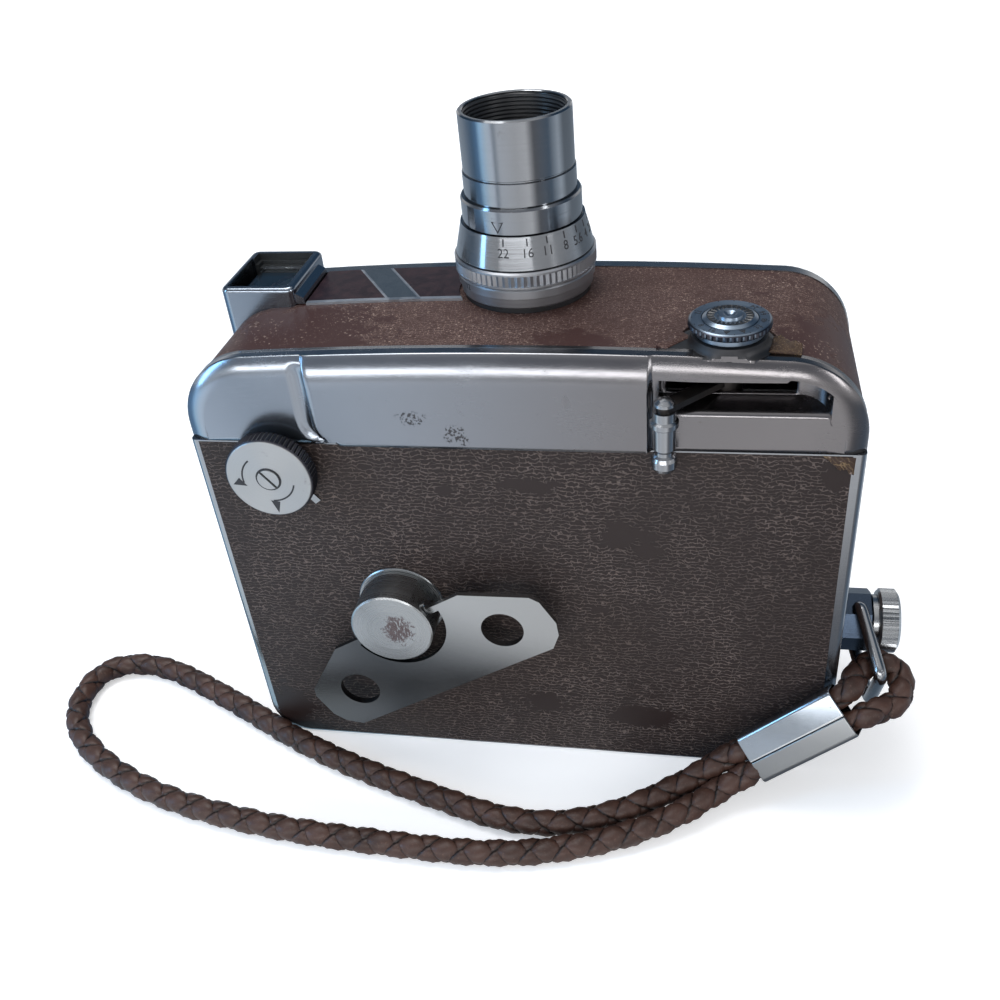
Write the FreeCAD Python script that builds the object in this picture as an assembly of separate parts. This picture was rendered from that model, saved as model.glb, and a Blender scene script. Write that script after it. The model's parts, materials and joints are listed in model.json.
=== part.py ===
import FreeCAD, Part
import math
import os

os.makedirs("parts", exist_ok=True)

# Pocket movie camera, millimetres. +Z is the way the lens looks, +X points to the wrist strap,
# -Y is the side with the winding key and +Y is the film door. The camera stands on its rear face at z = 0.

# body
half_len = 65.0
half_depth = 21.6
front_z = 102.4
crown = 1.4
front_r = 15.0
rear_r = 8.5
seam_z = 84.6
cover_y = -17.2
door_y = 18.2
leather_t = 0.7
frame_inset = 0.95
frame_wall = 2.2
leather_inset = 0.25
rear_x0 = -56.5
fit = 0.05

# front cap
cap_wall = 1.9
panel_x0 = -38.0
panel_x1 = 26.4
panel_top = 100.5
panel_proud = 1.2
pocket_x0 = 27.6
pocket_x1 = 55.0
pocket_z0 = 92.7
pocket_z1 = 99.0

# lens
lens_x = 0.2
lens_y = 8.86
flange_z = 102.85
flange_r = 12.6
sleeve_r = 10.2
sleeve_bore = 9.2
focus_r = 14.0
focus_z = 108.7
scale_z = 112.3
scale_top = 118.6
ring_top = 123.6
hood_z = 139.2
hood_r = 10.65
hood_bore = 9.65
hood_depth = 8.0
barrel_r = 9.5
barrel_bore = 8.0

# exposure dial and release lever
dial_x = 40.0
dial_y = -13.5
dial_r = 7.4
dial_z = 106.1
dial_t = 1.5
dial_shaft_r = 2.0
lever_reach = 15.6
lever_angle = 225.5
lever_z = 95.0
lever_t = 1.2

# latch
latch_x = -47.6
latch_z = 79.2
latch_r = 9.0
latch_y0 = -23.4
latch_t = 3.6
latch_shaft_r = 1.9
finger_len = 9.0

# winding key
wind_x = -27.0
wind_z = 44.1
drum_r = 8.74
drum_y0 = -22.1
drum_cap_y = -30.4
arbor_r = 3.0
pin_y = -27.9
pin_r = 1.0
plate_angle = 30.7
plate_t = 1.1
finger_hole_r = 4.5
finger_hole_u = 19.8
finger_hole_v = 12.1

# strap fitting
screw_y = -4.0
screw_z = 29.7
bush_r = 4.2
bush_bore = 3.175
screw_shaft_r = 3.1
block_x0 = 65.6
block_x1 = 73.2
block_half = 6.4
strap_knob_x = 74.4
strap_knob_t = 4.4
strap_knob_r = 7.0
bail_wire_r = 1.35
bail_half = 8.15
bail_len = 16.0
bail_x = 70.0
bail_tilt = 63.0
bail_rest = 13.0

# wrist cord and its ferrule
cord_d = 5.0
ferrule_wall = 0.25

# finder
finder_x0 = -63.0
finder_x1 = -47.0
finder_y0 = 1.7
finder_y1 = 21.9
finder_top = 106.3

# film chamber
plate_y0 = -1.2
plate_y1 = 0.4
spool_r = 24.5
supply_x = -21.0
takeup_x = 35.0
spool_z = 40.0
spindle_r = 3.9


def vec(x, y, z):
    return FreeCAD.Vector(x, y, z)


UP = vec(0, 0, 1)
NEAR = vec(0, -1, 0)


def box(x0, x1, y0, y1, z0, z1):
    return Part.makeBox(x1 - x0, y1 - y0, z1 - z0, vec(x0, y0, z0))


def rod(r, base, tip):
    axis = tip.sub(base)
    return Part.makeCylinder(r, axis.Length, base, axis)


def turned(points):
    # solid of revolution about local Z from (radius, height) corners
    corners = [vec(r, 0, z) for r, z in points]
    face = Part.Face(Part.makePolygon(corners + [corners[0]]))
    return face.revolve(vec(0, 0, 0), UP, 360)


def scaled(v, k):
    return vec(v.x * k, v.y * k, v.z * k)


def plus(point, *steps):
    out = vec(point.x, point.y, point.z)
    for direction, amount in steps:
        out = out.add(scaled(direction, amount))
    return out


def facing_near(shape, x, z):
    # local +Z becomes -Y
    shape = shape.copy()
    shape.rotate(vec(0, 0, 0), vec(1, 0, 0), 90)
    shape.translate(vec(x, 0, z))
    return shape


def facing_right(shape, y, z):
    # local +Z becomes +X
    shape = shape.copy()
    shape.rotate(vec(0, 0, 0), vec(0, 1, 0), 90)
    shape.translate(vec(0, y, z))
    return shape


def moved(shape, x, y, z):
    shape = shape.copy()
    shape.translate(vec(x, y, z))
    return shape


def toothed(r, depth, count, z0, z1):
    # round bar with straight flutes: the wire goes in and out once for each tooth
    corners = []
    for i in range(count * 2):
        a = math.pi * i / count
        rr = r if i % 2 else r - depth
        corners.append(vec(rr * math.cos(a), rr * math.sin(a), z0))
    face = Part.Face(Part.makePolygon(corners + [corners[0]]))
    return face.extrude(vec(0, 0, z1 - z0))


def outline(inset, y0, y1, rear=None, right=None, left=None):
    # the body's silhouette seen from the side, pulled in by inset, as a slab from y0 to y1
    low = inset if rear is None else rear
    xr = half_len - (inset if right is None else right)
    xl = -half_len + (inset if left is None else left)
    rb = rear_r - inset
    rt = front_r - inset
    top = front_z - inset
    k = math.sqrt(0.5)

    def p(x, z):
        return vec(x, y0, z)

    edges = [
        Part.makeLine(p(xl + rb, low), p(xr - rb, low)),
        Part.Arc(p(xr - rb, low), p(xr - rb + rb * k, low + rb - rb * k), p(xr, low + rb)).toShape(),
        Part.makeLine(p(xr, low + rb), p(xr, top - rt)),
        Part.Arc(p(xr, top - rt), p(xr - rt + rt * k, top - rt + rt * k), p(xr - rt, top)).toShape(),
        Part.Arc(p(xr - rt, top), p((xl + xr) / 2, top + crown), p(xl + rt, top)).toShape(),
        Part.Arc(p(xl + rt, top), p(xl + rt - rt * k, top - rt + rt * k), p(xl, top - rt)).toShape(),
        Part.makeLine(p(xl, top - rt), p(xl, low + rb)),
        Part.Arc(p(xl, low + rb), p(xl + rb - rb * k, low + rb - rb * k), p(xl + rb, low)).toShape(),
    ]
    return Part.Face(Part.Wire(edges)).extrude(vec(0, y1 - y0, 0))


def band(outer, inner, y0, y1, rear=None):
    return outline(outer, y0, y1, rear).cut(outline(inner, y0 - 1, y1 + 1))


def rim_edges(shape, y):
    return [e for e in shape.Edges
            if abs(e.BoundBox.YMin - y) < 1e-4 and abs(e.BoundBox.YMax - y) < 1e-4]


def export(name, shape):
    shape.exportStep("parts/%s.step" % name)
    print("%-20s volume %10.1f solids %d" % (name, shape.Volume, len(shape.Solids)))


# body shell

def corner_lugs():
    spots = [(58.0, 12.0), (-58.0, 12.0), (57.5, 93.0), (-57.5, 93.0)]
    lugs = [rod(4.0, vec(x, -15.0, z), vec(x, plate_y0, z)) for x, z in spots]
    return lugs, spots


def finder_window(z0, z1):
    return box(-61.65, -50.55, 3.15, 17.25, z0, z1)


def main_frame():
    skin = outline(frame_inset, cover_y + fit, door_y - fit)
    hollow = outline(frame_inset + frame_wall, cover_y - 1, door_y + 1)
    shell = skin.cut(hollow)
    seat = rod(11.0, vec(lens_x, lens_y, 97.5), vec(lens_x, lens_y, 106)).common(skin)
    shell = shell.fuse(seat)
    lugs, spots = corner_lugs()
    for lug in lugs:
        shell = shell.fuse(lug.common(skin))
    for x, z in spots:
        shell = shell.cut(rod(1.2, vec(x, -9, z), vec(x, 0, z)))
    shell = shell.cut(rod(7.94, vec(lens_x, lens_y, 90), vec(lens_x, lens_y, 110)))
    shell = shell.cut(rod(12.65, vec(lens_x, lens_y, flange_z), vec(lens_x, lens_y, 110)))
    shell = shell.cut(rod(dial_shaft_r + fit, vec(dial_x, dial_y, 95), vec(dial_x, dial_y, 110)))
    shell = shell.cut(rod(bush_r, vec(50, screw_y, screw_z), vec(70, screw_y, screw_z)))
    return shell.cut(finder_window(87, 108)).cut(finder_window(-2, 9))


def band_leather():
    skin = band(leather_inset, frame_inset, cover_y + fit, door_y - fit, 0.0)
    skin = skin.cut(box(rear_x0, -rear_x0, -30, 30, -1, frame_inset))
    skin = skin.cut(rod(12.7, vec(lens_x, lens_y, 90), vec(lens_x, lens_y, 110)))
    skin = skin.cut(rod(9.1, vec(dial_x, dial_y, 90), vec(dial_x, dial_y, 110)))
    skin = skin.cut(rod(bush_r, vec(50, screw_y, screw_z), vec(70, screw_y, screw_z)))
    return skin.cut(finder_window(90, 108)).cut(finder_window(-2, 6))


def rear_leather():
    skin = box(rear_x0, -rear_x0, cover_y + fit, door_y - fit, 0, frame_inset)
    return skin.cut(finder_window(-2, 6))


def near_cover():
    pan = outline(0.0, -half_depth, cover_y)
    pan = pan.makeFillet(1.1, rim_edges(pan, -half_depth))
    pan = pan.cut(box(-70, 70, -30, 0, seam_z - 0.1, 120))
    pan = pan.cut(near_leather(0.0))
    pan = pan.cut(outline(frame_wall, -19.4, cover_y + 1))
    pan = pan.cut(box(-70, 70, -19.4, -10, seam_z - 3, 120))
    pan = pan.cut(rod(arbor_r + fit, vec(wind_x, -30, wind_z), vec(wind_x, 0, wind_z)))
    pan = pan.cut(rod(latch_shaft_r + fit, vec(latch_x, -30, latch_z), vec(latch_x, 0, latch_z)))
    # hinge notch in the left rim
    return pan.cut(box(-66, -64.2, -21.0, -19.8, 69.0, 70.5))


def near_leather(gap=0.03):
    sheet = outline(1.0 + gap, -half_depth, -half_depth + leather_t, None, 2.5 + gap, 1.7 + gap)
    return sheet.cut(box(-70, 70, -30, 0, seam_z - 0.4 - gap, 120))


def near_leather_holed():
    sheet = near_leather()
    sheet = sheet.cut(rod(arbor_r + 0.4, vec(wind_x, -30, wind_z), vec(wind_x, 0, wind_z)))
    return sheet.cut(rod(3.6, vec(latch_x, -30, latch_z), vec(latch_x, 0, latch_z)))


def raised_panel():
    y0 = -half_depth - panel_proud
    y1 = -half_depth + 1.5
    corners = [(panel_x0, y1), (panel_x0, y0 + 0.7), (panel_x0 + 0.3, y0 + 0.2), (panel_x0 + 1.0, y0),
               (panel_x1 - 0.9, y0), (panel_x1 + 0.2, y0 + 0.35), (panel_x1 + 1.2, y0 + 1.2),
               (panel_x1 + 1.2, y1)]
    pts = [vec(x, y, seam_z) for x, y in corners]
    slab = Part.Face(Part.makePolygon(pts + [pts[0]])).extrude(vec(0, 0, panel_top - seam_z))
    top_edges = [e for e in slab.Edges if e.BoundBox.ZMin > panel_top - 0.01 and e.BoundBox.YMax < y0 + 0.3]
    return slab.makeFillet(1.1, top_edges[:1])


def dial_boss():
    boss = turned([(0, 98.5), (9.0, 98.5), (9.0, 102.2), (7.6, 102.8), (6.6, 103.7), (6.3, 104.9), (0, 104.9)])
    boss = moved(boss, dial_x, dial_y, 0)
    boss = boss.cut(outline(frame_inset, cover_y + fit, 10))
    return boss.common(box(0, 70, -half_depth + 0.05, 0, 90, 110))


def front_cap():
    skin = outline(0.0, -half_depth, cover_y)
    skin = skin.makeFillet(2.6, rim_edges(skin, -half_depth))
    skin = skin.cut(box(-70, 70, -30, 0, -5, seam_z))
    hollow = outline(cap_wall, -19.7, cover_y + 1)
    shell = skin.cut(hollow)
    shell = shell.fuse(raised_panel())
    groove = rod(1.5, vec(panel_x0 - 1.3, -half_depth - 0.7, 80), vec(panel_x0 - 1.3, -half_depth - 0.7, 99.5))
    shell = shell.cut(groove)
    # solid walls all round the pocket
    wall = box(pocket_x0 - 1.6, 59.0, -20.5, -16.4, pocket_z0 - 1.6, pocket_z1 + 1.0)
    shell = shell.fuse(wall.common(outline(frame_inset + frame_wall + 0.1, -30, 0)))
    # floor lug that carries the lever's pin
    lug = box(dial_x - 6, dial_x + 6, -17.5, dial_y + 4.5, pocket_z0 - 1.6, pocket_z0)
    shell = shell.fuse(lug)
    shell = shell.cut(lever_pocket())
    shell = shell.cut(box(28.9, 53.6, -18, -16, 94.2, 97.4))
    shell = shell.fuse(dial_boss())
    shell = shell.cut(rod(dial_shaft_r + fit, vec(dial_x, dial_y, 98), vec(dial_x, dial_y, 110)))
    return shell.cut(rod(1.2 + fit, vec(dial_x, dial_y, 88), vec(dial_x, dial_y, 94)))


def lever_pocket():
    pts = [vec(pocket_x0, -17.1, pocket_z0), vec(pocket_x0, -24, pocket_z0), vec(58.5, -24, pocket_z0),
           vec(56.9, -21.6, pocket_z0), vec(54.6, -18.6, pocket_z0), vec(52.5, -17.1, pocket_z0)]
    return Part.Face(Part.makePolygon(pts + [pts[0]])).extrude(vec(0, 0, pocket_z1 - pocket_z0))


def index_tab():
    tab = Part.makeBox(2.6, 0.3, 1.5, vec(-1.3, -half_depth - 0.3, -0.75))
    tab.rotate(vec(0, 0, 0), NEAR, -52)
    tab.translate(vec(-41.6, 0, 71.3))
    return tab


def nameplate():
    strip = outline(-0.25, 2.2, 18.0).cut(outline(leather_inset, 0, 20))
    strip = strip.common(box(-45.0, 0, 2.2, 18.0, 95, 110))
    return strip.cut(rod(13.9, vec(lens_x, lens_y, 95), vec(lens_x, lens_y, 110)))


# view finder

def finder_frame():
    w = finder_x1 - finder_x0
    d = finder_y1 - finder_y0
    hood = Part.makeBox(w, d, 16.0, vec(finder_x0, finder_y0, finder_top - 16.0))
    upright = [e for e in hood.Edges if e.BoundBox.ZLength > 10]
    hood = hood.makeFillet(1.8, upright)
    top = [e for e in hood.Edges if e.BoundBox.ZMin > finder_top - 0.01]
    hood = hood.makeFillet(0.9, top)
    flare = [vec(finder_x1 - 1, 2.6, 102.6), vec(finder_x1 + 1.7, 2.6, 102.6), vec(finder_x1 + 1.5, 2.6, 103.9),
             vec(finder_x1 + 0.5, 2.6, 104.5), vec(finder_x1 - 1, 2.6, 105.2)]
    skirt = Part.Face(Part.makePolygon(flare + [flare[0]])).extrude(vec(0, 15.0, 0))
    hood = hood.fuse(skirt)
    hood = hood.cut(outline(leather_inset, -5, door_y - 0.1))
    hood = hood.cut(outline(-0.25, door_y - 0.1, 30))
    for inset, low in ((1.7, 104.9), (2.5, 104.1), (3.3, 102.4)):
        hood = hood.cut(box(finder_x0 + inset, finder_x1 - inset, finder_y0 + inset, finder_y1 - inset, low, 120))
    return hood.cut(box(finder_x0 + 1.3, -50.5, 3.1, 17.3, 80, 120))


def finder_front_glass():
    return box(finder_x0 + 3.35, finder_x1 - 3.35, finder_y0 + 3.35, finder_y1 - 3.35, 102.9, 104.0).cut(
        outline(-0.25, -5, 30))


def finder_tube():
    tube = box(-61.6, -50.6, 3.2, 17.2, 1.6, 99.5)
    tube = tube.cut(box(-60.8, -51.4, 4.0, 16.4, 0, 110))
    cap = outline(0.6, 0, 20)
    return tube.common(cap)


def finder_eyepiece():
    plate = box(-61.6, -50.6, 3.2, 17.2, 0.3, 1.55)
    return plate.cut(rod(3.4, vec(-56.1, 10.2, -1), vec(-56.1, 10.2, 3)))


def eyepiece_glass():
    return rod(3.35, vec(-56.1, 10.2, 0.5), vec(-56.1, 10.2, 1.5))


# lens

def at_lens(shape):
    return moved(shape, lens_x, lens_y, 0)


def lens_flange():
    body = turned([(6.0, 98.0), (7.9, 98.0), (7.9, flange_z), (flange_r, flange_z), (flange_r, 104.6),
                   (sleeve_r, 104.6), (sleeve_r, 111.5), (sleeve_bore, 111.5), (sleeve_bore, 104.2), (6.0, 104.2)])
    # its foot stops short of the door, whose rim slides out under the flange
    return at_lens(body).cut(box(-20, 20, door_y - 0.1, 30, 90, front_z + crown + 0.1))


def base_ring():
    body = turned([(sleeve_r, 104.6), (12.9, 104.6), (13.15, 104.9), (13.3, 106.6), (13.6, 106.8), (13.6, 108.3),
                   (13.3, focus_z - fit), (sleeve_r, focus_z - fit)])
    return at_lens(body)


def focus_ring():
    grip = toothed(focus_r, 0.35, 72, focus_z + 0.7, scale_z - 0.75)
    rim = turned([(0, focus_z), (focus_r - 0.35, focus_z), (focus_r, focus_z + 0.35), (focus_r, focus_z + 0.7),
                  (0, focus_z + 0.7)])
    top = turned([(0, scale_z - 0.75), (focus_r, scale_z - 0.75), (focus_r, scale_z - 0.4),
                  (focus_r - 0.35, scale_z - 0.1), (0, scale_z - 0.1)])
    ring = grip.fuse(rim).fuse(top)
    ring = ring.cut(rod(sleeve_r + 0.04, vec(0, 0, 100), vec(0, 0, 115)))
    return at_lens(ring)


def lens_barrel():
    body = turned([(barrel_bore, 104.9), (sleeve_bore - 0.04, 104.9), (sleeve_bore - 0.04, scale_z),
                   (13.3, scale_z), (13.55, scale_z + 0.25), (12.1, scale_top), (barrel_r, scale_top),
                   (barrel_r, ring_top + fit), (barrel_bore, ring_top + fit)])
    return at_lens(body)


def aperture_ring():
    body = turned([(barrel_r + 0.04, scale_top + fit), (11.45, scale_top + fit), (11.65, scale_top + 0.25),
                   (11.65, ring_top - 0.45), (11.4, ring_top - 0.02), (barrel_r + 0.04, ring_top - 0.02)])
    return at_lens(body)


def front_barrel():
    low = ring_top + fit
    body = turned([(barrel_bore, low), (10.85, low), (10.85, 128.0), (10.45, 128.15), (10.45, 128.35),
                   (hood_r, 128.5), (hood_r, hood_z - 0.3), (hood_r - 0.3, hood_z), (hood_bore + 0.15, hood_z),
                   (hood_bore, hood_z - 0.15), (hood_bore, hood_z - hood_depth), (barrel_bore, hood_z - hood_depth)])
    return at_lens(body)


def front_element():
    r = barrel_bore - 0.05
    body = turned([(0, 126.4), (r, 127.2), (r, 129.2), (r * 0.6, 130.1), (0, 130.4)])
    return at_lens(body)


def rear_element():
    r = barrel_bore - 0.05
    return at_lens(turned([(0, 106.2), (r, 106.8), (r, 108.8), (0, 109.9)]))


def iris_blades():
    # the opening is a ten sided hole left by the leaves
    disc = rod(barrel_bore - 0.02, vec(0, 0, 117.0), vec(0, 0, 117.6))
    corners = [vec(4.2 * math.cos(math.pi * i / 5), 4.2 * math.sin(math.pi * i / 5), 116) for i in range(10)]
    hole = Part.Face(Part.makePolygon(corners + [corners[0]])).extrude(vec(0, 0, 3))
    return at_lens(disc.cut(hole))


# exposure dial and release

def speed_dial():
    disc = toothed(dial_r, 0.35, 40, dial_z + 0.3, dial_z + dial_t - 0.3)
    low = turned([(0, dial_z), (dial_r - 0.5, dial_z), (dial_r - 0.05, dial_z + 0.3), (0, dial_z + 0.3)])
    high = turned([(0, dial_z + dial_t - 0.3), (dial_r - 0.05, dial_z + dial_t - 0.3),
                   (dial_r - 0.5, dial_z + dial_t), (0, dial_z + dial_t)])
    neck = rod(6.2, vec(0, 0, 104.9 + fit), vec(0, 0, dial_z))
    shaft = rod(dial_shaft_r, vec(0, 0, 98.6), vec(0, 0, dial_z))
    body = disc.fuse([low, high, neck, shaft])
    body = body.cut(turned([(0, dial_z + dial_t - 0.35), (5.0, dial_z + dial_t - 0.35),
                            (5.3, dial_z + dial_t + 1), (0, dial_z + dial_t + 1)]))
    return moved(body, dial_x, dial_y, 0)


def dial_screw():
    z = dial_z + dial_t - 0.35
    hub = toothed(3.4, 0.3, 20, z, z + 0.65)
    head = turned([(0, z + 0.65), (2.3, z + 0.65), (2.1, z + 1.1), (1.2, z + 1.15), (0.5, z + 0.75), (0, z + 0.7)])
    return moved(hub.fuse(head), dial_x, dial_y, 0)


def lever_tip():
    a = math.radians(lever_angle)
    return dial_x + lever_reach * math.cos(a), dial_y + lever_reach * math.sin(a)


def release_lever():
    hub = rod(2.75, vec(0, 0, pocket_z0 + 0.1), vec(0, 0, lever_z + lever_t + 0.6))
    pin = rod(1.2, vec(0, 0, 90.0), vec(0, 0, pocket_z0 + 0.2))
    arm = box(0, lever_reach, -1.5, 1.5, lever_z, lever_z + lever_t)
    end = rod(1.5, vec(lever_reach, 0, lever_z), vec(lever_reach, 0, lever_z + lever_t))
    body = hub.fuse([pin, arm, end])
    body = body.cut(rod(1.2, vec(lever_reach, 0, 90), vec(lever_reach, 0, 99)))
    body.rotate(vec(0, 0, 0), UP, lever_angle)
    return moved(body, dial_x, dial_y, 0)


def lever_handle():
    x, y = lever_tip()
    z0 = 82.3
    body = turned([(0, z0), (1.4, z0), (2.1, z0 + 0.5), (2.4, z0 + 1.2), (2.4, z0 + 2.6), (2.1, z0 + 3.3),
                   (1.7, z0 + 3.7), (1.7, z0 + 4.4), (2.05, z0 + 5.0), (2.15, z0 + 9.3), (2.6, z0 + 9.7),
                   (2.6, z0 + 10.6), (2.1, z0 + 11.0), (2.1, lever_z), (1.2, lever_z), (1.2, lever_z + lever_t),
                   (1.9, lever_z + lever_t), (1.8, lever_z + lever_t + 0.5), (1.1, lever_z + lever_t + 1.1),
                   (0, lever_z + lever_t + 1.3)])
    return moved(body, x, y, 0)


# door latch

def latch_knob():
    y0 = -latch_y0
    disc = toothed(latch_r, 0.4, 60, y0 + 0.35, y0 + latch_t - 0.35)
    low = turned([(0, y0), (latch_r - 0.6, y0), (latch_r - 0.1, y0 + 0.35), (0, y0 + 0.35)])
    high = turned([(0, y0 + latch_t - 0.35), (latch_r - 0.1, y0 + latch_t - 0.35),
                   (latch_r - 0.5, y0 + latch_t), (0, y0 + latch_t)])
    collar = rod(3.2, vec(0, 0, half_depth - leather_t + fit), vec(0, 0, y0))
    body = disc.fuse([low, high, collar])
    body = body.cut(rod(2.35, vec(0, 0, y0 + latch_t - 0.5), vec(0, 0, y0 + latch_t + 1)))
    return facing_near(body, latch_x, latch_z)


def latch_screw():
    y = -latch_y0 + latch_t
    body = turned([(0, y - 0.5), (2.3, y - 0.5), (2.3, y - 0.05), (1.9, y + 0.15), (0, y + 0.2)])
    slot = box(-3, 3, -0.3, 0.3, y - 0.25, y + 1)
    body = body.cut(slot)
    body.rotate(vec(0, 0, 0), UP, 24)
    return facing_near(body, latch_x, latch_z)


def latch_shaft():
    shaft = rod(latch_shaft_r, vec(latch_x, -half_depth + leather_t - fit, latch_z), vec(latch_x, 19.6, latch_z))
    finger = box(0, finger_len - 2, 18.4, 19.6, -2.0, 2.0)
    tip = rod(2.0, vec(finger_len - 2, 18.4, 0), vec(finger_len - 2, 19.6, 0))
    hub = rod(3.2, vec(0, 18.4, 0), vec(0, 19.6, 0))
    finger = finger.fuse([tip, hub])
    return shaft.fuse(moved(finger, latch_x, 0, latch_z))


# winding key

def winding_drum():
    body = turned([(0, -drum_y0), (drum_r - 0.2, -drum_y0), (drum_r, -drum_y0 + 0.2), (drum_r, -drum_cap_y),
                   (drum_r - 0.35, -drum_cap_y + 0.25), (drum_r * 0.6, -drum_cap_y + 0.5),
                   (0, -drum_cap_y + 0.6)])
    for side in (-1, 1):
        x0 = 7.8 if side > 0 else -12.0
        body = body.cut(box(x0, x0 + 4.2, -12, 12, -drum_y0 - 1, 29.6))
    body = body.cut(rod(pin_r, vec(-12, 0, -pin_y), vec(12, 0, -pin_y)))
    body.rotate(vec(0, 0, 0), UP, plate_angle)
    return facing_near(body, wind_x, wind_z)


def winding_washer():
    body = turned([(arbor_r, half_depth + fit), (9.4, half_depth + fit), (9.4, -drum_y0 - 0.2),
                   (9.2, -drum_y0), (arbor_r, -drum_y0)])
    return facing_near(body, wind_x, wind_z)


def winding_arbor():
    body = rod(arbor_r, vec(0, 0, 6.0), vec(0, 0, -drum_y0))
    return facing_near(body, wind_x, wind_z)


def hinge_pin():
    body = rod(pin_r, vec(-9.2, 0, -pin_y), vec(9.2, 0, -pin_y))
    body.rotate(vec(0, 0, 0), UP, plate_angle)
    return facing_near(body, wind_x, wind_z)


def winding_plate():
    # drawn in its own plane: x along the hinge pin, y away from the pin is negative
    y0 = 27.5
    corners = [(9.2, 0.0), (17.0, 0.0), (29.8, -7.3), (31.0, -9.3), (31.0, -15.6), (29.6, -18.6), (26.5, -21.2),
               (-26.5, -21.2), (-29.6, -18.6), (-31.0, -15.6), (-31.0, -9.3), (-29.8, -7.3), (-17.0, 0.0),
               (-9.2, 0.0)]
    pts = [vec(x, y, y0) for x, y in corners]
    plate = Part.Face(Part.makePolygon(pts + [pts[0]])).extrude(vec(0, 0, plate_t))
    plate = plate.cut(rod(10.9, vec(0, -0.6, 20), vec(0, -0.6, 35)))
    for side in (-1, 1):
        u = side * finger_hole_u
        hole = rod(finger_hole_r, vec(u, -finger_hole_v, 20), vec(u, -finger_hole_v, 35))
        lip = turned([(finger_hole_r, y0 - 0.4), (finger_hole_r + 0.8, y0 - 0.4), (finger_hole_r + 1.4, y0 + 0.1),
                      (finger_hole_r, y0 + 0.1)])
        plate = plate.fuse(moved(lip, u, -finger_hole_v, 0)).cut(hole)
        x0 = 8.0 if side > 0 else -9.2
        lug = rod(1.5, vec(x0, 0, -pin_y), vec(x0 + 1.2, 0, -pin_y))
        x0 = 9.1 if side > 0 else -12.2
        arm = box(x0, x0 + 3.1, -1.5, 0.0, y0, y0 + plate_t)
        plate = plate.fuse(lug).fuse(arm)
    plate = plate.cut(rod(pin_r + fit, vec(-9.25, 0, -pin_y), vec(9.25, 0, -pin_y)))
    plate.rotate(vec(0, 0, 0), UP, plate_angle)
    return facing_near(plate.removeSplitter(), wind_x, wind_z)


# strap fitting

def bail_frame():
    # pivot, direction along the pivot, direction down the arms, direction across them
    t = math.radians(bail_tilt)
    s = math.radians(bail_rest)
    along = vec(0, -math.cos(t), math.sin(t))
    flat = vec(0, -math.sin(t), -math.cos(t))
    down = vec(math.sin(s), 0, 0).add(scaled(flat, math.cos(s)))
    return vec(bail_x, screw_y, screw_z), along, down, along.cross(down)


def tripod_bush():
    body = turned([(bush_bore, 55.5), (bush_r, 55.5), (bush_r, half_len - leather_inset),
                   (bush_bore, half_len - leather_inset)])
    return facing_right(body, screw_y, screw_z)


def block_washer():
    body = turned([(3.3, half_len - leather_inset), (6.6, half_len - leather_inset), (6.6, block_x0 - 0.2),
                   (6.4, block_x0), (3.3, block_x0)])
    return facing_right(body, screw_y, screw_z)


def strap_block():
    corners = []
    for i in range(8):
        a = math.radians(22.5 + 45 * i)
        rr = block_half / math.cos(math.radians(22.5))
        corners.append(vec(rr * math.cos(a), rr * math.sin(a), block_x0))
    block = Part.Face(Part.makePolygon(corners + [corners[0]])).extrude(vec(0, 0, block_x1 - block_x0))
    ends = [e for e in block.Edges if e.BoundBox.ZLength < 0.01]
    block = block.makeChamfer(0.5, ends)
    block.rotate(vec(0, 0, 0), UP, bail_tilt)
    block = facing_right(block, screw_y, screw_z)
    block = block.cut(rod(3.2, vec(60, screw_y, screw_z), vec(80, screw_y, screw_z)))
    pivot, along, down, across = bail_frame()
    for side in (-1, 1):
        hole = rod(bail_wire_r + fit, plus(pivot, (along, side * 4.1)), plus(pivot, (along, side * 9)))
        block = block.cut(hole)
    return block


def travel_washer():
    body = turned([(3.2, block_x1 + fit), (5.6, block_x1 + fit), (5.6, strap_knob_x - fit),
                   (3.2, strap_knob_x - fit)])
    return facing_right(body, screw_y, screw_z)


def strap_screw():
    x0 = strap_knob_x
    x1 = strap_knob_x + strap_knob_t
    grip = toothed(strap_knob_r, 0.4, 44, x0 + 0.5, x1 - 0.6)
    low = turned([(0, x0), (strap_knob_r - 0.6, x0), (strap_knob_r - 0.1, x0 + 0.5), (0, x0 + 0.5)])
    high = turned([(0, x1 - 0.6), (strap_knob_r - 0.1, x1 - 0.6), (strap_knob_r - 1.0, x1), (0, x1)])
    shaft = rod(screw_shaft_r, vec(0, 0, 57.0), vec(0, 0, x0))
    return facing_right(grip.fuse([low, high, shaft]), screw_y, screw_z)


def bent_rod(points, radius, bend):
    # round wire along straight runs joined by arcs; bend is one radius, or None to size each from its runs
    edges = []
    radii = []
    start = points[0]
    for i in range(1, len(points) - 1):
        a = points[i].sub(points[i - 1])
        b = points[i + 1].sub(points[i])
        shorter = min(a.Length, b.Length)
        a.normalize()
        b.normalize()
        half = math.acos(max(-1.0, min(1.0, a.dot(b)))) / 2
        reach = 0.45 * shorter if bend is None else bend * math.tan(half)
        r = reach / math.tan(half)
        radii.append(r)
        p0 = plus(points[i], (a, -reach))
        p1 = plus(points[i], (b, reach))
        inward = b.sub(a)
        inward.normalize()
        mid = plus(points[i], (inward, r / math.cos(half) - r))
        edges.append(Part.LineSegment(start, p0).toShape())
        edges.append(Part.Arc(p0, mid, p1).toShape())
        start = p1
    edges.append(Part.LineSegment(start, points[-1]).toShape())
    path = Part.Wire(edges)
    way = points[1].sub(points[0])
    section = Part.Wire([Part.Circle(points[0], way, radius).toShape()])
    solid = path.makePipeShell([section], True, True)
    return solid, path.Length, radii


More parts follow.
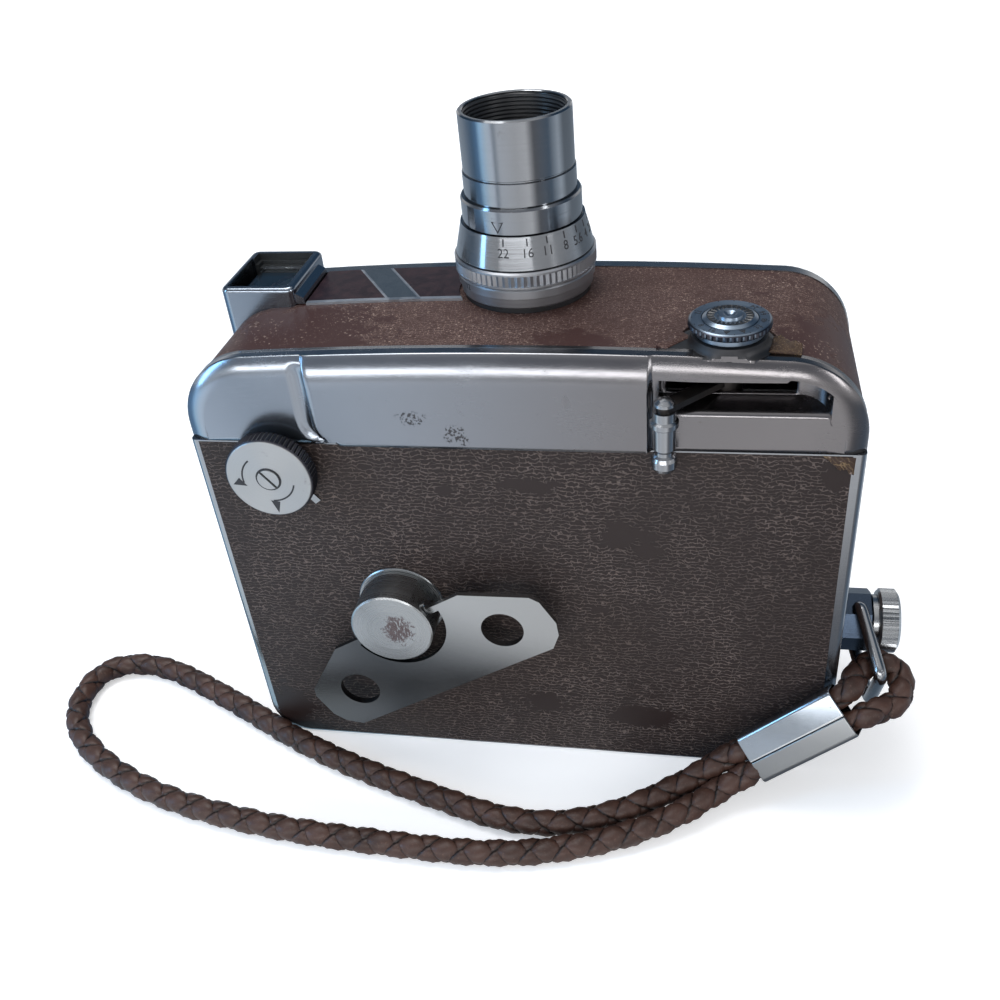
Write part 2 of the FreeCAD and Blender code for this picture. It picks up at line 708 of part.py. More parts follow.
def strap_bail():
    pivot, along, down, across = bail_frame()
    pts = [plus(pivot, (along, 4.3)), plus(pivot, (along, bail_half)),
           plus(pivot, (along, bail_half), (down, bail_len)), plus(pivot, (along, -bail_half), (down, bail_len)),
           plus(pivot, (along, -bail_half)), plus(pivot, (along, -4.3))]
    solid, length, radii = bent_rod(pts, bail_wire_r, 1.7)
    return solid


def ferrule_frame():
    # ends of its axis, the direction along it, across both strands, and through them
    low = vec(48.6, -28.45, 10.5)
    high = vec(66.4, -27.35, 25.6)
    along = high.sub(low)
    along.normalize()
    across = vec(-0.0536, -0.9884, 0.1418)
    across = plus(across, (along, -across.dot(along)))
    across.normalize()
    return low, high, along, across, along.cross(across)


def strap_ferrule():
    low, high, along, across, through = ferrule_frame()

    def block(w, t, extra):
        c = [plus(low, (along, -extra), (across, i * w / 2), (through, j * t / 2))
             for i, j in ((-1, -1), (1, -1), (1, 1), (-1, 1))]
        face = Part.Face(Part.makePolygon(c + [c[0]]))
        return face.extrude(scaled(along, high.sub(low).Length + 2 * extra))

    w = cord_d * 2 + 0.25
    t = cord_d + 0.2
    body = block(w + 2 * ferrule_wall, t + 2 * ferrule_wall, 0)
    long_edges = [e for e in body.Edges if abs(e.Length - high.sub(low).Length) < 0.01]
    body = body.makeFillet(0.5, long_edges)
    return body.cut(block(w, t, 1))


def cord_route():
    low, high, along, across, through = ferrule_frame()
    middle = scaled(low.add(high), 0.5)
    pivot, bar, down, side = bail_frame()
    bar_point = plus(pivot, (down, bail_len), (bar, 3.7))
    lane = cord_d / 2 + 0.04
    floor = cord_d / 2 + 0.1

    def near_bar(p, q, k):
        return plus(bar_point, (down, p), (side, q), (bar, k))

    pts = [plus(middle, (across, lane)), plus(high, (across, lane), (along, 3.2), (through, 0.02))]
    pts += [near_bar(5.6, -1.4, 2.1), near_bar(4.8, 3.0, 0.7), near_bar(0.4, 5.4, 0.0)]
    pts += [near_bar(-4.5, 3.6, 0.0), near_bar(-6.0, -2.4, 0.3)]
    pts += [plus(high, (across, -lane), (along, 3.9)), plus(middle, (across, -lane), (through, 0.03)),
            plus(low, (across, -lane), (along, -5.6))]
    pts += [vec(34.2, -32.4, 4.6), vec(18.0, -42.0, floor + 0.4), vec(0.0, -45.2, floor), vec(-25.0, -39.6, floor)]
    pts += [vec(-52.0, -29.6, floor), vec(-80.0, -15.6, floor), vec(-104.0, -6.0, floor), vec(-119.5, -8.5, floor)]
    pts += [vec(-121.0, -23.0, floor), vec(-108.5, -37.0, floor), vec(-86.0, -46.5, floor)]
    pts += [vec(-57.0, -53.0, floor), vec(-28.0, -54.6, floor), vec(-3.0, -55.2, floor), vec(17.0, -49.8, floor)]
    pts += [vec(32.4, -42.0, 3.8), plus(low, (across, lane), (along, -5.6)),
            plus(middle, (across, lane), (along, -1.0), (through, -0.03))]
    return pts


def strap_cord():
    pts = cord_route()
    solid, length, radii = bent_rod(pts, cord_d / 2, None)
    expected = math.pi * cord_d * cord_d / 4 * length
    print("cord length %.1f, volume %.1f against section x length %.1f" % (length, solid.Volume, expected))
    print("cord radii " + " ".join("%.1f" % r for r in radii))
    print("cord points " + " ".join("(%.2f,%.2f,%.2f)" % (p.x, p.y, p.z) for p in pts))
    return solid


# film door

def film_door():
    tray = outline(0.0, door_y, half_depth)
    tray = tray.makeFillet(1.0, rim_edges(tray, half_depth))
    tray = tray.cut(outline(1.6, door_y - 1, 19.9))
    return tray.cut(door_leather(0.0))


def door_leather(gap=0.03):
    return outline(1.5 + gap, half_depth - leather_t, half_depth)


def door_keeper():
    # hook that the latch finger passes behind
    a = math.radians(65)
    post = box(9.6, 11.4, 16.9, 19.9, -3, 3)
    lip = box(6.6, 11.4, 16.9, 18.1, -3, 3)
    hook = post.fuse(lip)
    hook.rotate(vec(0, 0, 0), vec(0, 1, 0), -math.degrees(a))
    return moved(hook, latch_x, 0, latch_z)


# mechanism and film chamber

def mechanism_plate():
    plate = outline(frame_inset + frame_wall + 0.05, plate_y0, plate_y1)
    lugs, spots = corner_lugs()
    for x, z in spots:
        plate = plate.cut(rod(1.3, vec(x, -5, z), vec(x, 5, z)))
    plate = plate.cut(rod(latch_shaft_r + fit, vec(latch_x, -5, latch_z), vec(latch_x, 5, latch_z)))
    plate = plate.cut(rod(bush_r + 0.3, vec(50, screw_y, screw_z), vec(70, screw_y, screw_z)))
    plate = plate.cut(rod(11.2, vec(lens_x, lens_y, 97), vec(lens_x, lens_y, 110)))
    plate = plate.cut(box(-15.5, 15.5, -5, 5, 90.2, 92.0))
    plate = plate.cut(rod(1.4 + fit, vec(22, -5, 76), vec(22, 5, 76)))
    return plate.cut(box(54.9, 70, -5, 5, screw_z - 4.5, screw_z + 4.5))


def plate_screws():
    lugs, spots = corner_lugs()
    screws = []
    for x, z in spots:
        head = turned([(0, -plate_y1 - 0.9), (2.2, -plate_y1 - 0.9), (2.2, -plate_y1), (0, -plate_y1)])
        head = head.cut(box(-3, 3, -0.25, 0.25, -plate_y1 - 2, -plate_y1 - 0.5))
        shank = rod(1.15, vec(0, 0, -plate_y1), vec(0, 0, 8.0))
        screws.append(facing_near(head.fuse(shank), x, z))
    return Part.makeCompound(screws)


def film_gate():
    plate = box(-11, 11, plate_y1, 17.4, 86.4, 88.0)
    foot = box(-11, 11, plate_y1, 1.6, 80.0, 86.6)
    gate = plate.fuse(foot)
    return gate.cut(box(lens_x - 2.4, lens_x + 2.4, lens_y - 1.8, lens_y + 1.8, 80, 90))


def pressure_plate():
    plate = box(-9, 9, 2.0, 17.0, 84.9, 86.0)
    stem = rod(1.2, vec(0, 8.8, 82.0), vec(0, 8.8, 85.0))
    arm = box(-2, 2, 1.7, 10.5, 81.0, 82.2)
    return plate.fuse([stem, arm])


def spindle(x):
    post = rod(spindle_r, vec(x, plate_y1, spool_z), vec(x, 17.2, spool_z))
    tip = Part.makeCone(spindle_r, spindle_r - 1.2, 1.2, vec(x, 17.2, spool_z), vec(0, 1, 0))
    return post.fuse(tip)


def spool(x):
    # two thin flanges on a hollow core, each flange with three round windows
    core = turned([(spindle_r + fit, -17.9), (6.2, -17.9), (6.2, -0.6), (spindle_r + fit, -0.6)])
    low = turned([(spindle_r + fit, -1.3), (spool_r, -1.3), (spool_r, -0.6), (spindle_r + fit, -0.6)])
    high = turned([(spindle_r + fit, -17.9), (spool_r, -17.9), (spool_r, -17.2), (spindle_r + fit, -17.2)])
    body = core.fuse([low, high])
    for i in range(3):
        a = math.radians(90 + 120 * i)
        hole = rod(3.6, vec(15 * math.cos(a), 15 * math.sin(a), -20), vec(15 * math.cos(a), 15 * math.sin(a), 0))
        body = body.cut(hole)
    return facing_near(body, x, spool_z)


def film_roll(x, r):
    body = turned([(6.3, -17.0), (r, -17.0), (r, -1.5), (6.3, -1.5)])
    return facing_near(body, x, spool_z)


def spring_barrel():
    drum = turned([(arbor_r + fit, 6.0), (20.0, 6.0), (20.0, 16.6), (19.4, 17.2), (arbor_r + fit, 17.2)])
    return facing_near(drum, wind_x, wind_z)


def great_gear():
    gear = toothed(21.5, 1.2, 64, 3.4, 5.0).cut(rod(arbor_r + fit, vec(0, 0, 0), vec(0, 0, 9)))
    for i in range(5):
        a = math.radians(72 * i)
        gear = gear.cut(rod(3.2, vec(13 * math.cos(a), 13 * math.sin(a), 0), vec(13 * math.cos(a), 13 * math.sin(a), 9)))
    return facing_near(gear, wind_x, wind_z)


def governor():
    x = 6.0
    z = 58.0
    post = rod(1.0, vec(x, -16.5, z), vec(x, plate_y0, z))
    drum = rod(5.4, vec(x, -15.5, z), vec(x, -9.0, z))
    gear = facing_near(toothed(5.0, 0.9, 14, 3.4, 5.0), x, z)
    return post.fuse([drum, gear])


def shutter_blade():
    hub = rod(3.6, vec(lens_x, -6, 90.7), vec(lens_x, -6, 91.5))
    disc = rod(17.0, vec(lens_x, -6, 90.7), vec(lens_x, -6, 91.5))
    wedge = box(lens_x - 10, lens_x + 12, -6, 20, 90, 92)
    spindle_rod = rod(1.2, vec(lens_x, -6, 84.0), vec(lens_x, -6, 96.0))
    bracket = box(lens_x - 3.5, lens_x + 3.5, -9.5, plate_y0, 83.0, 84.6)
    return disc.common(wedge).fuse([hub, spindle_rod, bracket])


def drive_sprocket():
    x = 22.0
    z = 76.0
    wheel = facing_near(toothed(7.2, 0.7, 8, -17.0, -1.0), x, z)
    post = rod(1.4, vec(x, -9, z), vec(x, 17.6, z))
    return wheel.fuse(post)


pieces = {
    "main_frame": main_frame,
    "band_leather": band_leather,
    "rear_leather": rear_leather,
    "near_cover": near_cover,
    "near_leather": near_leather_holed,
    "front_cap": front_cap,
    "index_tab": index_tab,
    "nameplate": nameplate,
    "finder_frame": finder_frame,
    "finder_front_glass": finder_front_glass,
    "finder_tube": finder_tube,
    "finder_eyepiece": finder_eyepiece,
    "eyepiece_glass": eyepiece_glass,
    "lens_flange": lens_flange,
    "base_ring": base_ring,
    "focus_ring": focus_ring,
    "lens_barrel": lens_barrel,
    "aperture_ring": aperture_ring,
    "front_barrel": front_barrel,
    "front_element": front_element,
    "rear_element": rear_element,
    "iris_blades": iris_blades,
    "speed_dial": speed_dial,
    "dial_screw": dial_screw,
    "release_lever": release_lever,
    "lever_handle": lever_handle,
    "latch_knob": latch_knob,
    "latch_screw": latch_screw,
    "latch_shaft": latch_shaft,
    "winding_drum": winding_drum,
    "winding_washer": winding_washer,
    "winding_arbor": winding_arbor,
    "hinge_pin": hinge_pin,
    "winding_plate": winding_plate,
    "tripod_bush": tripod_bush,
    "block_washer": block_washer,
    "strap_block": strap_block,
    "travel_washer": travel_washer,
    "strap_screw": strap_screw,
    "strap_bail": strap_bail,
    "strap_ferrule": strap_ferrule,
    "strap_cord": strap_cord,
    "film_door": film_door,
    "door_leather": door_leather,
    "door_keeper": door_keeper,
    "mechanism_plate": mechanism_plate,
    "plate_screws": plate_screws,
    "film_gate": film_gate,
    "pressure_plate": pressure_plate,
    "supply_spindle": lambda: spindle(supply_x),
    "takeup_spindle": lambda: spindle(takeup_x),
    "supply_spool": lambda: spool(supply_x),
    "takeup_spool": lambda: spool(takeup_x),
    "supply_film": lambda: film_roll(supply_x, 21.0),
    "spring_barrel": spring_barrel,
    "great_gear": great_gear,
    "governor": governor,
    "shutter_blade": shutter_blade,
    "drive_sprocket": drive_sprocket,
}

for piece_name, make in pieces.items():
    export(piece_name, make())
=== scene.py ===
import json
import math
import bmesh
import bpy
import numpy as np
from mathutils import Matrix, Vector


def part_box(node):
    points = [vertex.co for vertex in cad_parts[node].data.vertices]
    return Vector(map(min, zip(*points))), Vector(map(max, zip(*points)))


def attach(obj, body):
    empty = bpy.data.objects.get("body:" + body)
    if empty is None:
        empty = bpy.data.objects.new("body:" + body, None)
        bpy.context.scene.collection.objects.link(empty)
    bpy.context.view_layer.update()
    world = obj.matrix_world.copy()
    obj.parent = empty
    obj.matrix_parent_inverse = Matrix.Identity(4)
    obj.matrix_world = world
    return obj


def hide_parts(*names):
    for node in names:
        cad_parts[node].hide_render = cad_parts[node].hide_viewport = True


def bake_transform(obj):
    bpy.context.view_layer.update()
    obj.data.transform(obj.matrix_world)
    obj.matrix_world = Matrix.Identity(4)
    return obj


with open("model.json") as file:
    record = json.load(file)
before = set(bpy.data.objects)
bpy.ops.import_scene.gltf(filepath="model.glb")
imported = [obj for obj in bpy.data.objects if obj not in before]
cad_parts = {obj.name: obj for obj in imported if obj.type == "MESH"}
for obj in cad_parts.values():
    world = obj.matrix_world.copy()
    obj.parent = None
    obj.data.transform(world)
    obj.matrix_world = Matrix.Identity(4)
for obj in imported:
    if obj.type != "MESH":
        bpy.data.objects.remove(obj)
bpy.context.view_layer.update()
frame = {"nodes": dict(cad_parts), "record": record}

mm = 0.001
print("frame loaded", len(frame["nodes"]), "nodes")


# the camera stands where the photograph was taken; its lens is given in widths of the sensor
view = {
    "right": (0.984403, 0.158478, -0.076396),
    "down": (0.029777, -0.578060, -0.815451),
    "ahead": (-0.173393, 0.800457, -0.573763),
    "place": (36.339, -183.637, 191.212),
    "sensor": 36.0,
    "lens": 1.04338,
    "shift": (-0.0201, -0.0119),
}
camData = bpy.data.cameras.new("camera")
camData.sensor_width = view["sensor"]
camData.lens = view["sensor"] * view["lens"]
camData.shift_x, camData.shift_y = view["shift"]
camData.clip_start = 0.01
cam = bpy.data.objects.new("camera", camData)
bpy.context.scene.collection.objects.link(cam)
turn = Matrix((Vector(view["right"]), -Vector(view["down"]), -Vector(view["ahead"]))).transposed()
cam.matrix_world = Matrix.Translation(Vector(view["place"]) * mm) @ turn.to_4x4()
bpy.context.scene.camera = cam
print("camera placed")


# mesh helpers

def linked(obj):
    bpy.context.scene.collection.objects.link(obj)
    return obj


def meshFrom(name, verts, faces, smooth=True):
    mesh = bpy.data.meshes.new(name)
    mesh.from_pydata(np.asarray(verts).tolist(), [], faces)
    mesh.validate()
    if smooth:
        mesh.shade_smooth()
    else:
        mesh.shade_flat()
    return linked(bpy.data.objects.new(name, mesh))


def gridFaces(nu, nv, closeU=False, closeV=False):
    # quads between the neighbours of an nu by nv grid
    index = np.arange(nu * nv).reshape(nu, nv)
    a = index if closeU else index[:-1]
    b = np.roll(index, -1, 0) if closeU else index[1:]
    if closeV:
        corners = (a, np.roll(a, -1, 1), np.roll(b, -1, 1), b)
    else:
        corners = (a[:, :-1], a[:, 1:], b[:, 1:], b[:, :-1])
    return np.stack(corners, -1).reshape(-1, 4)


def gridMesh(name, points, closeU=False, closeV=False):
    # points are in millimetres, one row of the grid after the other
    faces = gridFaces(*points.shape[:2], closeU, closeV)
    return meshFrom(name, points.reshape(-1, 3) * mm, faces.tolist())


def joined(name, parts, smooth=False):
    # parts are (points, faces) pairs made one mesh
    verts = []
    faces = []
    start = 0
    for points, own in parts:
        verts.append(points)
        faces += [[i + start for i in face] for face in own]
        start += len(points)
    return meshFrom(name, np.concatenate(verts), faces, smooth)


def evaluatedMesh(obj):
    # the mesh of a curve or text object, which is then removed
    bpy.context.view_layer.update()
    seen = obj.evaluated_get(bpy.context.evaluated_depsgraph_get())
    mesh = bpy.data.meshes.new_from_object(seen)
    bpy.data.objects.remove(obj)
    return mesh


def thickened(obj, wall):
    solid = obj.modifiers.new("thickness", "SOLIDIFY")
    solid.thickness = wall * mm
    solid.offset = -1


def sharpPast(obj, degrees):
    obj.data.set_sharp_from_angle(angle=math.radians(degrees))


def fitted(obj, body, slot, *finishes):
    # gives a piece its materials and the body that carries it
    for finish in finishes:
        obj.data.materials.append(finish)
    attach(obj, body)
    return obj


def spanOf(node):
    # low and high corner of a CAD node, in millimetres
    low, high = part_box(node)
    return np.array(low) / mm, np.array(high) / mm


def middleOf(node):
    low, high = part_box(node)
    return (np.array(low) + np.array(high)) / 2


def roundAxis(axis, radius, angle, z):
    # points at a radius and an angle round an upright axis, in millimetres
    x = axis[0] / mm + radius * np.cos(angle)
    y = axis[1] / mm + radius * np.sin(angle)
    return np.stack(np.broadcast_arrays(x, y, z), -1)


def smoothStep(v):
    v = np.clip(v, 0, 1)
    return v * v * (3 - 2 * v)


lensAxis = middleOf("focus_ring")
dialAxis = middleOf("speed_dial")
knobAxis = middleOf("latch_knob")
drumAxis = middleOf("winding_drum")
screwAxis = middleOf("strap_screw")


# material helpers

class Tree:
    def __init__(self, tree):
        self.tree = tree

    def node(self, kind, **values):
        n = self.tree.nodes.new(kind)
        for key, value in values.items():
            if key in n.inputs.keys():
                n.inputs[key].default_value = value
            else:
                setattr(n, key, value)
        return n

    def join(self, a, b):
        self.tree.links.new(a, b)

    def fill(self, socket, value):
        # a number or a colour is set on the socket, an output is linked to it
        if isinstance(value, (int, float)):
            socket.default_value = value
        elif isinstance(value, tuple):
            socket.default_value = value if len(socket.default_value) == len(value) else (*value, 1)
        else:
            self.join(value, socket)

    def feed(self, sockets, values):
        for key, value in values.items():
            self.fill(sockets[key], value)

    def math(self, how, a, b=None, c=None):
        n = self.node("ShaderNodeMath", operation=how)
        for i, value in enumerate((a, b, c)):
            if value is not None:
                self.fill(n.inputs[i], value)
        return n.outputs[0]

    def times(self, first, *others):
        for other in others:
            first = self.math("MULTIPLY", first, other)
        return first

    def vector(self, how, a, b=None, c=None):
        n = self.node("ShaderNodeVectorMath", operation=how)
        for i, value in enumerate((a, b, c)):
            if value is not None:
                self.fill(n.inputs[i], value)
        return n.outputs["Value" if how in ("DOT_PRODUCT", "LENGTH") else "Vector"]

    def mixed(self, factor, a, b):
        n = self.node("ShaderNodeMix", data_type="RGBA")
        for socket, value in ((n.inputs[0], factor), (n.inputs[6], a), (n.inputs[7], b)):
            self.fill(socket, value)
        return n.outputs[2]

    def between(self, value, low, high, outLow=0.0, outHigh=1.0):
        n = self.node("ShaderNodeMapRange", interpolation_type="SMOOTHSTEP")
        self.feed(n.inputs, {"Value": value, "From Min": low, "From Max": high,
                             "To Min": outLow, "To Max": outHigh})
        return n.outputs["Result"]

    def noise(self, where, scale, detail=4.0, rough=0.55, distortion=0.0, output="Fac"):
        n = self.node("ShaderNodeTexNoise")
        self.feed(n.inputs, {"Vector": where, "Scale": scale, "Detail": detail,
                             "Roughness": rough, "Distortion": distortion})
        return n.outputs[output]

    def split(self, where):
        n = self.node("ShaderNodeSeparateXYZ")
        self.join(where, n.inputs[0])
        return n.outputs["X"], n.outputs["Y"], n.outputs["Z"]

    def combined(self, x, y):
        n = self.node("ShaderNodeCombineXYZ")
        self.join(x, n.inputs[0])
        self.join(y, n.inputs[1])
        return n.outputs[0]

    def bumped(self, height, strength, distance):
        n = self.node("ShaderNodeBump", Strength=strength, Distance=distance)
        self.join(height, n.inputs["Height"])
        return n.outputs["Normal"]


def newGroup(name, inputs, outputs):
    kinds = {"v": "NodeSocketVector", "c": "NodeSocketColor", "f": "NodeSocketFloat"}
    g = bpy.data.node_groups.new(name, "ShaderNodeTree")
    for way, sockets in (("INPUT", inputs), ("OUTPUT", outputs)):
        for key, kind in sockets.items():
            g.interface.new_socket(key, in_out=way, socket_type=kinds[kind])
    t = Tree(g)
    return g, t, t.node("NodeGroupInput").outputs, t.node("NodeGroupOutput").inputs


def newMaterial(name):
    mat = bpy.data.materials.new(name)
    mat.use_nodes = True
    mat.node_tree.nodes.clear()
    t = Tree(mat.node_tree)
    shader = t.node("ShaderNodeBsdfPrincipled")
    out = t.node("ShaderNodeOutputMaterial")
    t.join(shader.outputs[0], out.inputs[0])
    coord = t.node("ShaderNodeTexCoord").outputs["Object"]
    return mat, t, shader.inputs, coord


def placed(t, group, values):
    g = t.node("ShaderNodeGroup", node_tree=group)
    t.feed(g.inputs, values)
    return g.outputs


def metalGroup():
    # plated metal: clouded polish, hairline scratches, dull stains and dark pits
    g, t, given, out = newGroup(
        "wornMetal", {"Vector": "v", "Colour": "c", "Rough": "f", "Wear": "f"},
        {"Base Color": "c", "Roughness": "f", "Normal": "v"})
    where = given["Vector"]
    wear = given["Wear"]
    cloud = t.between(t.noise(where, 60, 5, 0.6), 0.35, 0.7)
    drawn = t.vector("MULTIPLY", where, (1.0, 1.0, 9.0))
    hair = t.between(t.noise(drawn, 420, 3, 0.7), 0.45, 0.75)
    stain = t.between(t.noise(where, 190, 6, 0.7, 0.6), 0.62, 0.76)
    pit = t.between(t.noise(where, 900, 3, 0.6), 0.70, 0.76)
    rough = given["Rough"]
    for mask, duller in ((cloud, 0.12), (hair, 0.06), (stain, 0.22)):
        rough = t.math("MULTIPLY_ADD", t.times(mask, wear), duller, rough)
    dark = t.times(t.math("MAXIMUM", t.times(stain, 0.30), t.times(pit, 0.6)), wear)
    tone = t.mixed(dark, given["Colour"], (0.09, 0.075, 0.065))
    t.feed(out, {"Base Color": tone, "Roughness": rough, "Normal": t.bumped(hair, 0.08, 0.00004)})
    return g


def turnedGroup():
    # lathe-turned metal: rings of fine cuts round an axis, and the direction that they spread light in
    g, t, given, out = newGroup(
        "turnedMetal", {"Vector": "v", "Centre": "v", "Axis": "v", "Colour": "c", "Rough": "f"},
        {"Base Color": "c", "Roughness": "f", "Normal": "v", "Tangent": "v"})
    arm = t.vector("SUBTRACT", given["Vector"], given["Centre"])
    height = t.vector("DOT_PRODUCT", arm, given["Axis"])
    around = t.vector("CROSS_PRODUCT", given["Axis"], arm)
    cuts = t.noise(t.combined(height, t.vector("LENGTH", around)), 5200, 2, 0.6)
    stain = t.between(t.noise(given["Vector"], 260, 5, 0.7, 0.5), 0.60, 0.75)
    rough = t.math("MULTIPLY_ADD", t.between(cuts, 0.35, 0.65), 0.08, given["Rough"])
    normal = t.node("ShaderNodeNewGeometry").outputs["Normal"]
    t.feed(out, {
        "Base Color": t.mixed(t.times(stain, 0.3), given["Colour"], (0.10, 0.09, 0.08)),
        "Roughness": t.math("MULTIPLY_ADD", stain, 0.15, rough),
        "Normal": t.bumped(cuts, 0.04, 0.00003),
        "Tangent": t.vector("CROSS_PRODUCT", normal, t.vector("NORMALIZE", around)),
    })
    return g


# covering grain in millimetres: cells in rows, bent by a slow noise and frayed by a quick one
grainForm = {"cell": 2.5, "row": 0.90, "line": 0.12, "lineSoft": 0.7, "stagger": 0.41, "narrower": 0.72,
             "bend": (6.0, 2.2, 0.0), "bendScale": 330.0, "fray": (1.2, 1.3, 0.0), "frayScale": 950.0}


def leatherGroup():
    # flat dark cells in wavering rows, parted by thin pale lines that wear away
    g, t, given, out = newGroup(
        "grainedLeather", {"Vector": "v", "Spread": "v", "Cell Colour": "c", "Line Colour": "c",
                           "Worn Colour": "c", "Worn": "f"},
        {"Base Color": "c", "Roughness": "f", "Normal": "v"})
    where = given["Vector"]
    form = grainForm
    bend = t.noise(where, form["bendScale"], 2.0, 0.5, output="Color")
    fray = t.noise(where, form["frayScale"], 3.0, 0.6, output="Color")
    bent = t.vector("MULTIPLY_ADD", bend, tuple(v * mm for v in form["bend"]), given["Spread"])
    bent = t.vector("MULTIPLY_ADD", fray, tuple(v * mm for v in form["fray"]), bent)
    rows = t.node("ShaderNodeTexBrick", offset=form["stagger"], offset_frequency=2,
                  squash=form["narrower"], squash_frequency=3, Scale=1.0)
    t.feed(rows.inputs, {"Mortar Size": form["line"] * mm, "Mortar Smooth": form["lineSoft"],
                         "Brick Width": form["cell"] * mm, "Row Height": form["row"] * mm, "Vector": bent})
    crease = rows.outputs["Fac"]
    broad = t.between(t.noise(where, 45, 5, 0.65, 0.8), 0.34, 0.62)
    wide = t.vector("MULTIPLY", where, (0.8, 1.0, 1.2))
    rubbed = t.between(t.noise(wide, 70, 6, 0.7, 1.0), 0.62, 0.70)
    worn = t.math("MINIMUM", t.math("ADD", rubbed, given["Worn"]), 1.0)
    whole = t.math("SUBTRACT", 1.0, worn)
    broken = t.between(t.noise(where, 620, 3, 0.6), 0.36, 0.50, 0.25, 1.0)
    paleness = t.times(crease, broken, t.math("MULTIPLY_ADD", broad, 0.6, 0.4), whole)
    shade = t.between(t.noise(where, 900, 3, 0.6), 0.3, 0.7, 0.0, 0.4)
    cell = t.mixed(shade, given["Cell Colour"], given["Worn Colour"])
    tone = t.mixed(paleness, cell, given["Line Colour"])
    height = t.times(crease, -1.0, whole)
    height = t.math("MULTIPLY_ADD", t.noise(where, 2600, 3, 0.6), 0.4, height)
    t.feed(out, {
        "Base Color": t.mixed(t.times(worn, 0.85), tone, given["Worn Colour"]),
        "Roughness": t.math("SUBTRACT", 0.60, t.times(worn, 0.14)),
        "Normal": t.bumped(height, 0.5, 0.00012),
    })
    return g


def spotGroup():
    # a soft patch round a place, its edge torn by noise
    g, t, given, out = newGroup(
        "raggedSpot", {"Vector": "v", "Place": "v", "Stretch": "v", "Size": "f", "Fray": "f", "Grain": "f"},
        {"Mask": "f"})
    arm = t.vector("SUBTRACT", given["Vector"], given["Place"])
    reach = t.math("DIVIDE", t.vector("LENGTH", t.vector("MULTIPLY", arm, given["Stretch"])), given["Size"])
    tear = t.math("SUBTRACT", t.noise(given["Vector"], given["Grain"], 6.0, 0.7, 0.4), 0.5)
    edge = t.math("MULTIPLY_ADD", tear, given["Fray"], reach)
    t.join(t.between(edge, 0.80, 1.05, 1.0, 0.0), out["Mask"])
    return g


wornMetal = metalGroup()
turnedMetal = turnedGroup()
grainedLeather = leatherGroup()
raggedSpot = spotGroup()


def spots(t, coord, places, fray, grain):
    # each place is x, y, z, size, and the squeeze of x and z
    mask = None
    for x, y, z, size, squeezeX, squeezeZ in places:
        one = placed(t, raggedSpot, {
            "Vector": coord, "Place": (x * mm, y * mm, z * mm), "Stretch": (squeezeX, 1.0, squeezeZ),
            "Size": size * mm, "Fray": fray, "Grain": grain})["Mask"]
        mask = one if mask is None else t.math("MAXIMUM", mask, one)
    return mask


def metal(name, colour, rough, wear=0.5, stains=(), paintedReflection=None):
    mat, t, shader, coord = newMaterial(name)
    if paintedReflection:
        # painted reflection: the tone drifts to a second colour along a direction, standing in for the darker
        # surroundings that the metal reflects there
        direction, start, end, second = paintedReflection
        run = t.vector("DOT_PRODUCT", coord, direction)
        colour = t.mixed(t.between(run, start * mm, end * mm), colour, second)
    made = placed(t, wornMetal, {"Vector": coord, "Colour": colour, "Rough": rough, "Wear": wear})
    tone = made["Base Color"]
    if stains:
        speck = t.between(t.noise(coord, 1700, 3, 0.6), 0.50, 0.56)
        mask = t.times(spots(t, coord, stains, 2.0, 500.0), speck, 0.8)
        tone = t.mixed(mask, tone, (0.03, 0.024, 0.024))
    t.feed(shader, {"Base Color": tone, "Roughness": made["Roughness"], "Normal": made["Normal"],
                    "Metallic": 1.0})
    return mat


def turned(name, centre, axis, colour, rough, spread=0.8, stains=(), rim=None):
    mat, t, shader, coord = newMaterial(name)
    made = placed(t, turnedMetal, {"Vector": coord, "Centre": tuple(centre), "Axis": axis, "Colour": colour,
                                   "Rough": rough})
    tone = made["Base Color"]
    metallic = 1.0
    if rim:
        # blackened beyond a radius
        edge = 0.12 * mm
        arm = t.vector("CROSS_PRODUCT", t.vector("SUBTRACT", coord, tuple(centre)), axis)
        dark = t.between(t.vector("LENGTH", arm), rim * mm - edge, rim * mm + edge)
        tone = t.mixed(dark, tone, (0.045, 0.045, 0.055))
    if stains:
        drawn = t.vector("MULTIPLY", coord, (2.6, 1.0, 0.8))
        streak = t.between(t.noise(drawn, 900, 4, 0.65), 0.38, 0.46)
        worn = t.times(spots(t, coord, stains, 2.2, 420.0), streak)
        tone = t.mixed(t.times(worn, 0.9), tone, (0.055, 0.028, 0.028))
        metallic = t.math("MULTIPLY_ADD", worn, -0.8, 1.0)
    t.feed(shader, {"Base Color": tone, "Roughness": made["Roughness"], "Normal": made["Normal"],
                    "Tangent": made["Tangent"], "Metallic": metallic, "Anisotropic": spread})
    return mat


def leather(name, cell, line, wornTone, across, patches=(), scuffsAndGlints=0.0, finer=1.0):
    # the rows run along x; across them goes z on the flat panels, and y where the covering goes round
    mat, t, shader, coord = newMaterial(name)
    worn = spots(t, coord, patches, 3.0, 300.0) if patches else 0.0
    x, y, z = t.split(coord)
    laid = t.combined(x, z) if across == "z" else t.combined(t.math("ADD", x, z), y)
    laid = t.vector("MULTIPLY", laid, (finer, finer, finer))
    made = placed(t, grainedLeather, {"Vector": coord, "Spread": laid, "Cell Colour": cell,
                                      "Line Colour": line, "Worn Colour": wornTone, "Worn": worn})
    tone = made["Base Color"]
    if scuffsAndGlints:
        # pale flecks in worn places: partly rubbed-through finish, partly painted glints off the grain
        fleck = t.between(t.noise(coord, 1500, 3, 0.7), 0.60, 0.70)
        where = t.between(t.noise(coord, 65, 4, 0.6), 0.42, 0.60)
        tone = t.mixed(t.times(fleck, where, scuffsAndGlints), tone, (0.42, 0.31, 0.25))
    t.feed(shader, {"Base Color": tone, "Roughness": made["Roughness"], "Normal": made["Normal"],
                    "Specular IOR Level": 0.35})
    return mat


